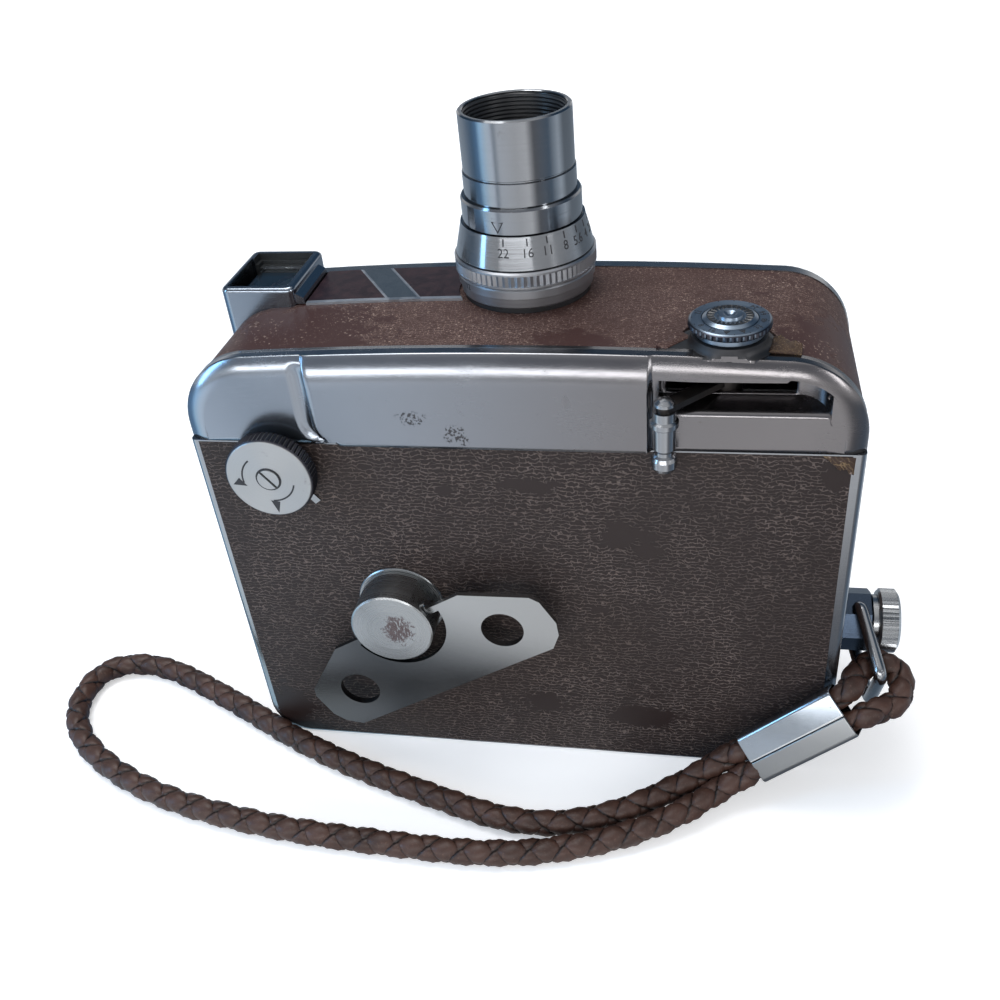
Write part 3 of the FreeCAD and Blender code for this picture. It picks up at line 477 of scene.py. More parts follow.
def paint(name, colour, rough):
    mat, t, shader, coord = newMaterial(name)
    cloud = t.noise(coord, 300, 5)
    tone = t.mixed(t.between(cloud, 0.3, 0.8, 0, 0.5), colour, tuple(c * 1.6 for c in colour))
    t.feed(shader, {"Base Color": tone, "Roughness": t.between(cloud, 0.3, 0.8, rough, rough + 0.15)})
    return mat


def clearGlass():
    mat, t, shader, coord = newMaterial("clearGlass")
    smear = t.between(t.noise(coord, 400, 3), 0.4, 0.8, 0.01, 0.08)
    t.feed(shader, {"Base Color": (0.86, 0.92, 0.97), "Transmission Weight": 1.0, "IOR": 1.5,
                    "Roughness": smear})
    return mat


def strapLeather():
    # painted shade: near black where a lace dips under the next and towards its edges; painted glints: pale
    # flecks on the pores
    mat, t, shader, coord = newMaterial("strapLeather")
    pores = t.noise(coord, 2200, 4, 0.7)
    cloud = t.noise(coord, 160, 4, 0.6)
    tone = t.mixed(t.between(cloud, 0.3, 0.7), (0.034, 0.015, 0.010), (0.064, 0.030, 0.021))
    # painted shade in the braid's creases, read from the laces' height
    height = t.node("ShaderNodeAttribute", attribute_name="rise").outputs["Fac"]
    tone = t.mixed(t.between(height, 0.30, 0.80), (0.005, 0.0025, 0.002), tone)
    # painted glints: pale flecks on the pores
    glint = t.times(t.between(pores, 0.55, 0.72), 0.35)
    t.feed(shader, {"Base Color": t.mixed(glint, tone, (0.20, 0.12, 0.09)),
                    "Roughness": t.between(pores, 0.3, 0.7, 0.38, 0.58),
                    "Normal": t.bumped(pores, 0.4, 0.00008), "Specular IOR Level": 0.4})
    return mat


# name strip: where the slanted band crosses y 0, how far it leans, its half width, and where the bead ends
namePlate = {"bandX": -22.5, "slope": 0.645, "bandHalf": 3.35, "beadY": 3.3}


def namePrint():
    # dull maroon paint, a grey-blue band between bright lines, and a bright bead along the near edge
    mat, t, shader, coord = newMaterial("namePrint")
    plate = {key: value * mm for key, value in namePlate.items()}
    x, y, z = t.split(coord)
    slant = t.math("MULTIPLY_ADD", y, namePlate["slope"], t.math("SUBTRACT", x, plate["bandX"]))
    reach = t.math("ABSOLUTE", slant)
    soft = 0.1 * mm
    band = t.between(reach, plate["bandHalf"] - soft, plate["bandHalf"] + soft, 1.0, 0.0)
    edge = t.math("ABSOLUTE", t.math("SUBTRACT", reach, plate["bandHalf"]))
    line = t.between(edge, 0.2 * mm, 0.4 * mm, 1.0, 0.0)
    bead = t.between(y, plate["beadY"] - soft / 2, plate["beadY"] + soft / 2, 1.0, 0.0)
    bright = t.math("MAXIMUM", line, bead)
    cloud = t.between(t.noise(coord, 420, 5, 0.7), 0.35, 0.7)
    tone = t.mixed(cloud, (0.014, 0.006, 0.008), (0.028, 0.012, 0.015))
    tone = t.mixed(band, tone, (0.055, 0.075, 0.095))
    t.feed(shader, {"Base Color": t.mixed(bright, tone, (0.42, 0.44, 0.47)),
                    "Metallic": t.math("MULTIPLY_ADD", bright, 0.85, t.times(band, 0.5)),
                    "Roughness": t.between(cloud, 0.0, 1.0, 0.30, 0.42), "Specular IOR Level": 0.25})
    return mat


finderForm = {"left": -63.0, "right": -47.0, "wall": 1.65}


def finderPlating():
    # bright outside, blackened inside the four walls
    mat, t, shader, coord = newMaterial("finderChrome")
    made = placed(t, wornMetal, {"Vector": coord, "Colour": (0.23, 0.26, 0.30), "Rough": 0.16, "Wear": 0.4})
    low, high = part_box("finder_frame")
    wall = finderForm["wall"] * mm
    x, y, z = t.split(coord)
    inside = t.times(
        t.math("GREATER_THAN", x, finderForm["left"] * mm + wall),
        t.math("LESS_THAN", x, finderForm["right"] * mm - wall),
        t.math("GREATER_THAN", y, float(low[1]) + wall),
        t.math("LESS_THAN", y, float(high[1]) - wall))
    t.feed(shader, {"Base Color": t.mixed(inside, made["Base Color"], (0.012, 0.014, 0.015)),
                    "Metallic": t.math("SUBTRACT", 1.0, inside),
                    "Roughness": t.math("MULTIPLY_ADD", inside, 0.25, made["Roughness"]),
                    "Normal": made["Normal"]})
    return mat


# ferrule: the middles of its two ends, the direction across its wide faces, and its section
ferrule = {"low": (48.6, -28.45, 10.5), "high": (66.4, -27.35, 25.6), "across": (0.576, -0.509, -0.641),
           "seam": 0.5, "halfWide": 5.5, "halfDeep": 2.92, "corner": 0.9, "wall": 0.3, "crown": 0.22,
           "fold": 0.16}


def ferruleMetal():
    # folded sheet: a seam runs along the middle of the wide faces, one half duller than the other, with a
    # painted highlight along the seam's edge
    mat, t, shader, coord = newMaterial("ferruleMetal")
    made = placed(t, wornMetal, {"Vector": coord, "Colour": (0.30, 0.335, 0.375), "Rough": 0.17,
                                 "Wear": 0.7})
    middle = tuple((a + b) / 2 * mm for a, b in zip(ferrule["low"], ferrule["high"]))
    reach = t.vector("DOT_PRODUCT", t.vector("SUBTRACT", coord, middle), ferrule["across"])
    side = t.math("SUBTRACT", reach, ferrule["seam"] * mm)
    gap = t.between(t.math("ABSOLUTE", side), 0.07 * mm, 0.14 * mm, 1.0, 0.0)
    # painted highlight: a bright line on the edge of one half, just beside the seam's dark gap
    beside = t.math("ABSOLUTE", t.math("ADD", side, 0.30 * mm))
    shoulder = t.between(beside, 0.1 * mm, 0.24 * mm, 1.0, 0.0)
    dull = t.between(side, -0.1 * mm, 0.1 * mm)
    tone = t.mixed(t.times(dull, 0.75), made["Base Color"], (0.23, 0.23, 0.225))
    tone = t.mixed(shoulder, tone, (0.60, 0.62, 0.64))
    t.feed(shader, {"Base Color": t.mixed(gap, tone, (0.03, 0.03, 0.03)),
                    "Roughness": t.math("MULTIPLY_ADD", dull, 0.14, made["Roughness"]),
                    "Normal": t.bumped(t.times(gap, -1.0), 0.8, 0.0001), "Metallic": 1.0})
    return mat


# worn places: x, y, z, size, and the squeeze of x and z
rubbedPlaces = [
    (2.6, -21.6, 75.9, 4.4, 0.75, 1.9), (-14, -21.6, 73.8, 1.6, 0.8, 1.6),
    (20.4, -21.6, 64.4, 4.2, 0.7, 1.4), (26.0, -21.6, 60.6, 2.2, 0.8, 1.2),
    (15.8, -21.6, 44.4, 2.0, 0.8, 1.5), (2, -21.6, 15.6, 4.6, 0.6, 1.4),
    (24.5, -21.6, 13.0, 5.2, 0.7, 1.5), (-60.5, -21.6, 6.0, 7.5, 0.9, 0.8),
    (60.5, -21.6, 8.0, 5.5, 1.2, 0.6), (61.5, -21.6, 80.5, 4.2, 1.0, 1.0),
]
bandPlaces = [
    (-62, -10, 97, 9.0, 1.0, 1.0), (-44, -10, 103, 15.0, 0.8, 1.0), (62, -6, 93, 12.0, 1.0, 0.8),
    (54, -12, 102.5, 6.5, 0.9, 1.0), (12, -14.5, 103.6, 4.0, 0.5, 1.0),
]
capStains = [
    (-10.4, -22.8, 88.0, 2.0, 1.0, 0.9), (-8.4, -22.8, 86.5, 1.2, 1.0, 1.0),
    (-18, -22.8, 91.0, 1.6, 0.5, 1.0),
]
drumStains = [(-25.4, -30.4, 44.4, 3.3, 1.0, 0.85)]
alongX, alongY, alongZ = (1.0, 0.0, 0.0), (0.0, 1.0, 0.0), (0.0, 0.0, 1.0)

chrome = metal("satinChrome", (0.29, 0.30, 0.315), 0.17, 0.6)
# painted reflection: the cap's tone goes darker and warmer towards +x
capChrome = metal("capChrome", (0.27, 0.30, 0.34), 0.20, 0.6, capStains,
                  (alongX, -60, 45, (0.185, 0.175, 0.178)))
# painted reflection: the winding plate goes dark towards its lower left, where it reflects the strap and the
# floor beside the body
plateChrome = metal("plateChrome", (0.37, 0.375, 0.375), 0.22, 0.3,
                    paintedReflection=((-0.35, 0.0, -0.94), -44, -22, (0.10, 0.105, 0.11)))
bossSteel = metal("bossSteel", (0.055, 0.055, 0.058), 0.42, 1.0)
armSteel = metal("armSteel", (0.045, 0.040, 0.038), 0.35, 0.8)
blockSteel = metal("blockSteel", (0.040, 0.055, 0.080), 0.16, 0.3)
steel = metal("brightSteel", (0.36, 0.365, 0.37), 0.22, 0.4)
darkSteel = metal("darkSteel", (0.085, 0.10, 0.12), 0.28, 0.6)
alloy = metal("alloy", (0.42, 0.42, 0.43), 0.42, 0.8)
brass = metal("brass", (0.55, 0.40, 0.18), 0.28, 0.5)
lensSteel = turned("lensSteel", lensAxis, alongZ, (0.25, 0.26, 0.275), 0.12, 0.7)
ringSteel = turned("ringSteel", lensAxis, alongZ, (0.36, 0.37, 0.39), 0.34, 0.5)
dialSteel = turned("dialSteel", dialAxis, alongZ, (0.22, 0.27, 0.33), 0.30, 0.4, rim=7.12)
knobSteel = turned("knobSteel", knobAxis, alongY, (0.40, 0.40, 0.40), 0.40, 0.5, rim=8.62)
drumChrome = turned("drumChrome", drumAxis, alongY, (0.33, 0.34, 0.345), 0.24, 0.5, drumStains)
screwSteel = turned("screwSteel", screwAxis, alongX, (0.36, 0.37, 0.38), 0.25, 0.6)
nearGrain = leather("nearGrain", (0.017, 0.010, 0.0085), (0.125, 0.094, 0.082), (0.016, 0.008, 0.007), "z",
                    rubbedPlaces)
# the top covering and the torn shreds carry pale flecks that are partly painted glints
bandGrain = leather("bandGrain", (0.042, 0.016, 0.012), (0.250, 0.165, 0.135), (0.040, 0.013, 0.010), "y",
                    bandPlaces, scuffsAndGlints=0.9, finer=1.7)
rawHide = leather("rawHide", (0.030, 0.014, 0.009), (0.17, 0.11, 0.055), (0.06, 0.035, 0.018), "y",
                  scuffsAndGlints=0.6, finer=2.5)
blackPaint = paint("blackPaint", (0.012, 0.012, 0.013), 0.32)
filmBase = paint("filmBase", (0.035, 0.022, 0.018), 0.25)
engraved = paint("engravedPaint", (0.014, 0.014, 0.017), 0.5)
threadBlack = paint("threadBlack", (0.010, 0.011, 0.013), 0.28)
glass = clearGlass()
braid = strapLeather()
platePrint = namePrint()
finderChrome = finderPlating()
ferruleSheet = ferruleMetal()
print("materials made")

slotFinish = {
    "satin_chrome": chrome, "bright_steel": steel, "dark_steel": darkSteel, "alloy": alloy, "brass": brass,
    "black_paint": blackPaint, "brown_leather": bandGrain, "strap_leather": braid,
    "plate_print": platePrint, "clear_glass": glass, "film_base": filmBase,
}
ownFinish = {
    "near_leather": nearGrain, "door_leather": nearGrain, "front_cap": capChrome,
    "winding_plate": plateChrome, "winding_drum": drumChrome, "winding_washer": drumChrome,
    "base_ring": ringSteel, "focus_ring": ringSteel, "lens_barrel": lensSteel, "aperture_ring": lensSteel,
    "front_barrel": lensSteel, "speed_dial": dialSteel, "dial_screw": dialSteel, "latch_knob": knobSteel,
    "latch_screw": knobSteel, "finder_frame": finderChrome, "strap_screw": screwSteel,
    "release_lever": armSteel, "strap_block": blockSteel,
}
slots = {s["node"]: s["material_slot"] for s in frame["record"]["subparts"]}
for name, obj in frame["nodes"].items():
    obj.data.materials.clear()
    obj.data.materials.append(ownFinish.get(name) or slotFinish[slots[name]])
    obj.data.shade_smooth()
    sharpPast(obj, 32)


# wrist strap: the modelled cord's route, moved a few millimetres to follow the photograph
route = [
    (58.96, -29.19, 16.42), (69.85, -28.50, 25.64), (74.05, -25.51, 24.46), (77.41, -23.31, 24.35),
    (78.87, -19.13, 25.70), (76.96, -15.22, 27.46), (72.23, -14.96, 27.93), (68.51, -20.29, 27.91),
    (67.00, -25.93, 28.97), (56.05, -26.58, 19.67), (42.87, -27.42, 8.51), (34.20, -32.40, 4.60),
    (18.00, -42.00, 3.00), (0.00, -45.60, 2.60), (-24.90, -38.70, 2.60), (-52.10, -29.70, 2.60),
    (-80.10, -15.00, 2.60), (-103.70, -4.40, 2.60), (-118.60, -7.40, 2.60), (-119.20, -22.80, 2.60),
    (-108.10, -35.40, 2.60), (-86.00, -46.00, 2.60), (-57.30, -51.40, 2.60), (-28.20, -53.00, 2.60),
    (-3.00, -53.40, 2.60), (17.00, -48.20, 2.60), (32.40, -41.00, 3.80), (45.79, -30.01, 5.25),
    (58.19, -29.26, 15.79),
]
strap = {"outer": 2.88, "pitch": 14.2, "halfWidth": 2.5, "thick": 1.05, "weave": 0.52, "step": 0.4,
         "held": 2.36, "heldFade": 2.5, "edgeDrop": 0.34, "length": 460.0, "width": 5.0}


def centreLine():
    # second-degree spline whose control points are the route
    curve = bpy.data.curves.new("strapLine", "CURVE")
    curve.dimensions = "3D"
    curve.resolution_u = 40
    spline = curve.splines.new("NURBS")
    spline.points.add(len(route) - 1)
    for point, p in zip(spline.points, route):
        point.co = (p[0] * mm, p[1] * mm, p[2] * mm, 1)
    spline.order_u = 3
    spline.use_endpoint_u = True
    mesh = evaluatedMesh(linked(bpy.data.objects.new("strapLine", curve)))
    return np.array([v.co for v in mesh.vertices])


def evenly(line, step):
    # the same line in points an even step apart, and its length
    gaps = np.linalg.norm(np.diff(line, axis=0), axis=1)
    line = line[np.r_[True, gaps > 1e-7]]
    run = np.r_[0, np.cumsum(np.linalg.norm(np.diff(line, axis=0), axis=1))]
    at = np.linspace(0, run[-1], int(run[-1] / step))
    return np.stack([np.interp(at, run, line[:, k]) for k in range(3)], 1), run[-1]


def carriedFrames(line):
    # each frame is the last one turned by the least angle
    ahead = np.gradient(line, axis=0)
    ahead /= np.linalg.norm(ahead, axis=1)[:, None]
    side = np.zeros_like(line)
    first = np.cross(ahead[0], [0, 0, 1.0])
    side[0] = first / np.linalg.norm(first)
    for i in range(1, len(line)):
        s = side[i - 1] - ahead[i] * (side[i - 1] @ ahead[i])
        side[i] = s / np.linalg.norm(s)
    return ahead, side, np.cross(ahead, side)


def grip(line):
    # 1 where the ferrule squeezes the strap, fading to 0 past its ends
    low = np.array(ferrule["low"]) * mm
    high = np.array(ferrule["high"]) * mm
    length = np.linalg.norm(high - low)
    axis = (high - low) / length
    arm = line - (low + high) / 2
    past = np.abs(arm @ axis) - length / 2
    off = np.linalg.norm(arm - (arm @ axis)[:, None] * axis, axis=1)
    return smoothStep(1 - past / (strap["heldFade"] * mm)) * (off < 7 * mm)


def bulged(wave, power):
    # a wave with flatter tops
    return np.sign(wave) * np.abs(wave) ** power


def makeLaces():
    # four flat laces wind round the line, two each way. A lace's distance from the line is the core's
    # radius, plus a wave that lifts it over the next lace and dips it under the one after, plus its section
    s = {key: value * mm for key, value in strap.items()}
    line, length = evenly(centreLine(), s["step"])
    ahead, side, up = carriedFrames(line)
    count = len(line)
    along = np.linspace(0, length, count)
    section = np.linspace(0, 2 * np.pi, 14, endpoint=False)
    across = bulged(np.cos(section), 0.7)[None]
    through = bulged(np.sin(section), 0.8)[None]
    core = s["outer"] - s["thick"] * 0.5 - s["weave"]
    tilt = math.atan(2 * math.pi * core / s["pitch"])
    squeeze = 1 - grip(line) * (1 - s["held"] / s["outer"])
    laces = []
    for way in (1, -1):
        for first in (0, math.pi):
            angle = first + way * 2 * np.pi * along / s["pitch"]
            lift = way * bulged(np.cos(4 * np.pi * along / s["pitch"]), 0.6)
            angle = angle[:, None] + across * s["halfWidth"] * math.cos(tilt) / core
            r = core + s["weave"] * lift[:, None] + through * s["thick"] / 2
            r = r - strap["edgeDrop"] * s["thick"] * np.abs(across) ** 5
            # height above the dips, less near the lace's edges; where it is low the strap's material paints
            # shade
            rise = np.clip((r - core + s["weave"]) / (2 * s["weave"] + s["thick"] / 2), 0, 1)
            rise = rise * (1 - 0.75 * smoothStep((np.abs(across) - 0.80) / 0.2))
            # the section leans with the lace, so each of its points looks up its own place on the line
            shift = -way * across * s["halfWidth"] * math.sin(tilt)
            place = np.clip((along[:, None] + shift) / length * (count - 1), 0, count - 1)
            i0 = np.floor(place).astype(int)
            i1 = np.minimum(i0 + 1, count - 1)
            f = (place - i0)[..., None]
            middle, out, over = (v[i0] * (1 - f) + v[i1] * f for v in (line, side, up))
            r = r * (squeeze[i0] * (1 - f[..., 0]) + squeeze[i1] * f[..., 0])
            outward = np.cos(angle)[..., None] * out + np.sin(angle)[..., None] * over
            points = middle + r[..., None] * outward
            # the underside is pressed flat where it lies on the table
            z = points[..., 2]
            pressed = 0.05 * mm + 0.25 * mm * np.exp((z - 0.3 * mm) / (0.25 * mm))
            points[..., 2] = np.where(z < 0.3 * mm, pressed, z)
            laces.append((points, rise))
    return line, length, laces


def makeStrap():
    line, length, laces = makeLaces()
    nu, nv = laces[0][1].shape
    faces = gridFaces(nu, nv, closeV=True).tolist()
    faces += [list(range(nv))[::-1], list(range((nu - 1) * nv, nu * nv))]
    obj = joined("wristStrap", [(points.reshape(-1, 3), faces) for points, rise in laces], smooth=True)
    # the laces' heights, from which the strap's material paints shade in the creases
    attribute = obj.data.attributes.new("rise", "FLOAT", "POINT")
    rises = np.concatenate([rise.reshape(-1) for points, rise in laces])
    attribute.data.foreach_set("value", rises.astype(np.float32))
    obj.data.materials.append(braid)
    return obj, line, length


def ferruleSection():
    # a rounded rectangle, once round: top, left, bottom and right side with an arc at each corner
    a, b, r = ferrule["halfWide"], ferrule["halfDeep"], ferrule["corner"]
    quarter = np.linspace(0, np.pi / 2, 7)
    flat = np.linspace(-(a - r), a - r, 60)[1:-1]
    rim = np.linspace(-(b - r), b - r, 5)[1:-1]
    top = np.stack([flat[::-1], flat * 0 + b], 1)
    left = np.stack([rim * 0 - a, rim[::-1]], 1)
    sides = [top, left, -top, -left]
    centres = [(r - a, b - r), (r - a, r - b), (a - r, r - b), (a - r, b - r)]
    ring = []
    for k, (cu, cv) in enumerate(centres):
        t = (k + 1) * np.pi / 2 + quarter
        ring += [sides[k], np.stack([cu + r * np.cos(t), cv + r * np.sin(t)], 1)]
    return np.concatenate(ring).T


def makeFerrule():
    # the section carried along the strap: out along the wall's outside, back along its inside; the wide
    # faces are a little crowned, and a fold line is pressed into them beside the middle
    low = np.array(ferrule["low"])
    high = np.array(ferrule["high"])
    a, b, wall = ferrule["halfWide"], ferrule["halfDeep"], ferrule["wall"]
    length = np.linalg.norm(high - low)
    along = (high - low) / length
    across = np.array(ferrule["across"])
    across = across - along * (across @ along)
    across = across / np.linalg.norm(across)
    deep = np.cross(along, across)
    u, v = ferruleSection()
    wide = np.sign(v) * (np.abs(v) > b - 0.01)
    crown = ferrule["crown"] * np.clip(1 - (u / (a - 0.3)) ** 2, 0, 1) * wide
    fold = ferrule["fold"] * np.exp(-((u - ferrule["seam"]) / 0.13) ** 2) * wide
    # how far along the axis, and how far the wall stands in from the outside
    outside = [(0.0, wall * 0.6), (0.12, 0.05), (0.35, 0.0), (length / 2, 0.0), (length - 0.35, 0.0),
               (length - 0.12, 0.05), (length, wall * 0.6)]
    inside = [(length - 0.1, wall), (length / 2, wall), (0.1, wall)]
    rows = []
    for at, inset in outside + inside:
        bulge = crown - fold if inset < wall * 0.5 else 0
        uu = u * (a - inset) / a
        vv = v * (b - inset) / b + bulge
        rows.append(low + at * along + uu[:, None] * across + vv[:, None] * deep)
    obj = gridMesh("ferruleSleeve", np.stack(rows), closeU=True, closeV=True)
    sharpPast(obj, 40)
    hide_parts("strap_ferrule")
    return fitted(obj, "camera", "satin_chrome", ferruleSheet)


ferruleSleeve = makeFerrule()
wristStrap, strapLine, strapLength = makeStrap()
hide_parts("strap_cord")
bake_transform(wristStrap)
print("strap", round(strapLength, 4), "m long")


# front cap: a thin shell made of columns of points that run from its back edge over the rounded edge and
# down to the seam. The raised panel, the groove beside it and the lever's pocket are in the same columns
capForm = {
    "halfX": 65.0, "top": 102.4, "crown": 1.4, "corner": 15.0, "seam": 84.6, "back": -17.2, "face": -21.6,
    "roll": 6.0, "turn": 41.0, "edge": 0.55, "ceilingIn": 2.9, "wall": 1.6,
    "panelRoll": 8.7, "panelTurn": 43.0, "panelFace": -22.8, "panelLeft": -38.6, "panelRight": 26.9,
    "panelRise": 1.9, "panelFall": 1.1, "groove": -39.7, "grooveHalf": 1.9, "grooveDeep": 0.85,
    "flare": 4.6, "fineLeft": (-43.0, -42.6, -31.0), "fineRight": (24.0, 24.4, 27.8),
}
pocket = {
    "left": 27.9, "right": 57.75, "scoopFrom": 52.8, "scoop": 5.0, "back": -17.1, "lip": 92.7,
    "ceiling": 99.0, "slot": (94.3, 97.4), "slotEnds": (28.9, 52.6),
    "floor": (1.0, 0.85, 0.6, 0.4, 0.28, 0.16, 0.07, 0.0),
    "lipAt": (0.0, 0.07, 0.16, 0.28, 1.0), "lipRise": (-0.75, -0.28, 0.0, 0.2, 1.5),
}
dialBoss = {
    "front": -20.4, "profile": [(2.5, 101.0), (2.5, 104.9), (6.5, 104.9), (6.8, 104.7), (6.9, 104.2),
                                (7.05, 103.5), (7.5, 103.0), (8.2, 102.7), (8.2, 101.0)],
}
edgePoints, slotRow = 21, 6
straight = capForm["halfX"] - capForm["corner"]
cornerZ = capForm["top"] - capForm["corner"]


def crownAt(x):
    # the top bows up by the crown between the corners, as an arc
    radius = (straight ** 2 + capForm["crown"] ** 2) / (2 * capForm["crown"])
    return capForm["top"] + capForm["crown"] - (radius - np.sqrt(radius ** 2 - x * x))


def capStations():
    # each column: the centre that its edge leans from, the way it leans, and how deep its roll goes
    c = capForm
    lift = math.radians(c["turn"])
    deep = c["edge"] + (c["roll"] - c["edge"]) * math.sin(lift)
    coarseEnd, fineStart, fineEnd = c["fineLeft"]
    coarseStop, sharpStart, sharpEnd = c["fineRight"]
    flat = np.concatenate([
        np.linspace(-straight, coarseEnd, 8), np.arange(fineStart, fineEnd, 0.2),
        np.linspace(fineEnd + 1, coarseStop, 16), np.arange(sharpStart, sharpEnd, 0.15),
        [pocket["left"], pocket["left"] + 0.02], np.linspace(pocket["slotEnds"][0], straight, 14)])
    rows = []
    for a in np.radians(np.linspace(180, 90, 26))[:-1]:
        rows.append((-straight, cornerZ, math.cos(a), math.sin(a), deep))
    for x in flat:
        level = crownAt(x)
        reach = deep if x <= pocket["left"] else min(deep, level - pocket["ceiling"])
        rows.append((x, level - c["corner"], 0.0, 1.0, reach))
    scoopX = np.linspace(pocket["scoopFrom"] + 0.3, pocket["right"] - 0.05, 18)
    for x in np.r_[np.linspace(straight, pocket["scoopFrom"], 6)[1:], scoopX]:
        a = math.acos((x - straight) / (c["corner"] - c["ceilingIn"]))
        rows.append((straight, cornerZ, math.cos(a), math.sin(a), c["ceilingIn"]))
    # past the pocket the roll deepens again round the corner
    for degrees in np.r_[np.linspace(48.5, 25, 8), 20, 16, 12, 8, 4, 0]:
        a = math.radians(degrees)
        reach = c["ceilingIn"] + (deep - c["ceilingIn"]) * smoothStep((49.5 - degrees) / 24)
        rows.append((straight, cornerZ, math.cos(a), math.sin(a), reach))
    return rows


def rolledEdge(face, roll, turn, stop=math.inf):
    # y and depth inside the outline: a level strip, a tight edge, then a wide arc that ends at a depth
    back, tight = capForm["back"], capForm["edge"]
    lift = math.radians(turn)
    top = tight + (roll - tight) * math.sin(lift)
    end = math.asin(max(top - stop, 0) / roll)
    small = np.linspace(np.pi / 2, lift, 6)
    wide = np.linspace(lift, end, 14)[1:]
    tightY = face + roll * (1 - math.cos(lift)) + tight * math.cos(lift) - tight * np.cos(small)
    y = np.r_[back, back - 1.2, tightY, face + roll * (1 - np.cos(wide))]
    return y, np.r_[0, 0.02, tight * (1 - np.sin(small)), top - roll * np.sin(wide)]


def pocketFace(x, start, foot):
    # back along the ceiling, down the back wall, out over the floor and its lip, then down to the seam;
    # past scoopFrom the back wall comes forward in a quarter circle
    face, p = capForm["face"], pocket
    scooped = max(x - p["scoopFrom"], 0)
    back = p["back"] - p["scoop"] + math.sqrt(max(p["scoop"] ** 2 - scooped ** 2, 0))
    back = max(back, face + 0.01)
    out = np.array(p["floor"]) * (back - face) / (p["back"] - face)
    rise = np.interp(out, p["lipAt"], p["lipRise"])
    low, high = p["slot"]
    floorBack = p["lip"] + rise[0]
    wall = np.r_[np.linspace(foot, high, 4), np.linspace(high, low, 4)[1:], floorBack + 0.02, floorBack]
    skirt = p["lip"] + p["lipRise"][0]
    skirt = skirt + (capForm["seam"] - skirt) * np.linspace(0.06, 1, 9)
    y = np.r_[np.linspace(start, back, 3), np.full(9, back), face + (p["back"] - face) * out,
              np.full(9, face)]
    z = np.r_[np.full(3, foot), np.clip(wall, floorBack, foot), p["lip"] + rise, skirt]
    return y, z


def capColumn(cx, cz, dx, dz, stop):
    # the plain edge and face, or the pocket, then a share of the panel's column in its place, then the groove
    c = capForm
    y, inside = rolledEdge(c["face"], c["roll"], c["turn"], stop)
    reach = c["corner"] - inside
    edgeX = cx + reach * dx
    edgeZ = cz + reach * dz
    x, foot = edgeX[-1], edgeZ[-1]
    if pocket["left"] < x < pocket["right"]:
        downY, downZ = pocketFace(x, y[-1], foot)
    else:
        share = np.r_[np.linspace(0.0, 0.02, 3), np.linspace(0.03, 0.40, 9), np.linspace(0.41, 0.50, 8),
                      np.linspace(0.53, 1, 9)]
        downY = np.full(len(share), c["face"])
        downZ = foot + (c["seam"] - foot) * share
    base = np.stack([np.r_[edgeX, np.full(len(downY), x)], np.r_[y, downY], np.r_[edgeZ, downZ]], 1)
    # the panel's own column, from the same outline
    rollY, rollIn = rolledEdge(c["panelFace"], c["panelRoll"], c["panelTurn"])
    rollZ = cz + c["corner"] - rollIn
    share = np.r_[np.linspace(0.02, 0.50, 20), np.linspace(0.53, 1, 9)]
    downZ = rollZ[-1] + (c["seam"] - rollZ[-1]) * share
    panelY = np.r_[rollY, np.full(len(share), c["panelFace"])]
    panel = np.stack([np.full(len(base), x), panelY, np.r_[rollZ, downZ]], 1)
    # how much of the panel there is; its left end and the groove beside it flare aside near the seam
    z = base[:, 2]
    below = np.clip(c["seam"] + c["flare"] - z, 0, c["flare"] - 0.01)
    aside = c["flare"] - np.sqrt(c["flare"] ** 2 - below ** 2)
    short = np.clip(1 - (x - c["panelLeft"] - aside) / c["panelRise"], 0, 1)
    amount = np.sqrt(1 - short ** 2) * smoothStep((c["panelRight"] - x) / c["panelFall"])
    if abs(x) >= straight:
        amount = amount * 0
    shape = base + amount[:, None] * (panel - base)
    dip = np.clip(1 - ((x - c["groove"] - aside) / c["grooveHalf"]) ** 2, 0, 1) ** 1.5
    shape[:, 1] += c["grooveDeep"] * dip * (1 - amount) * smoothStep((c["top"] - 0.4 - z) / 3.0)
    return shape


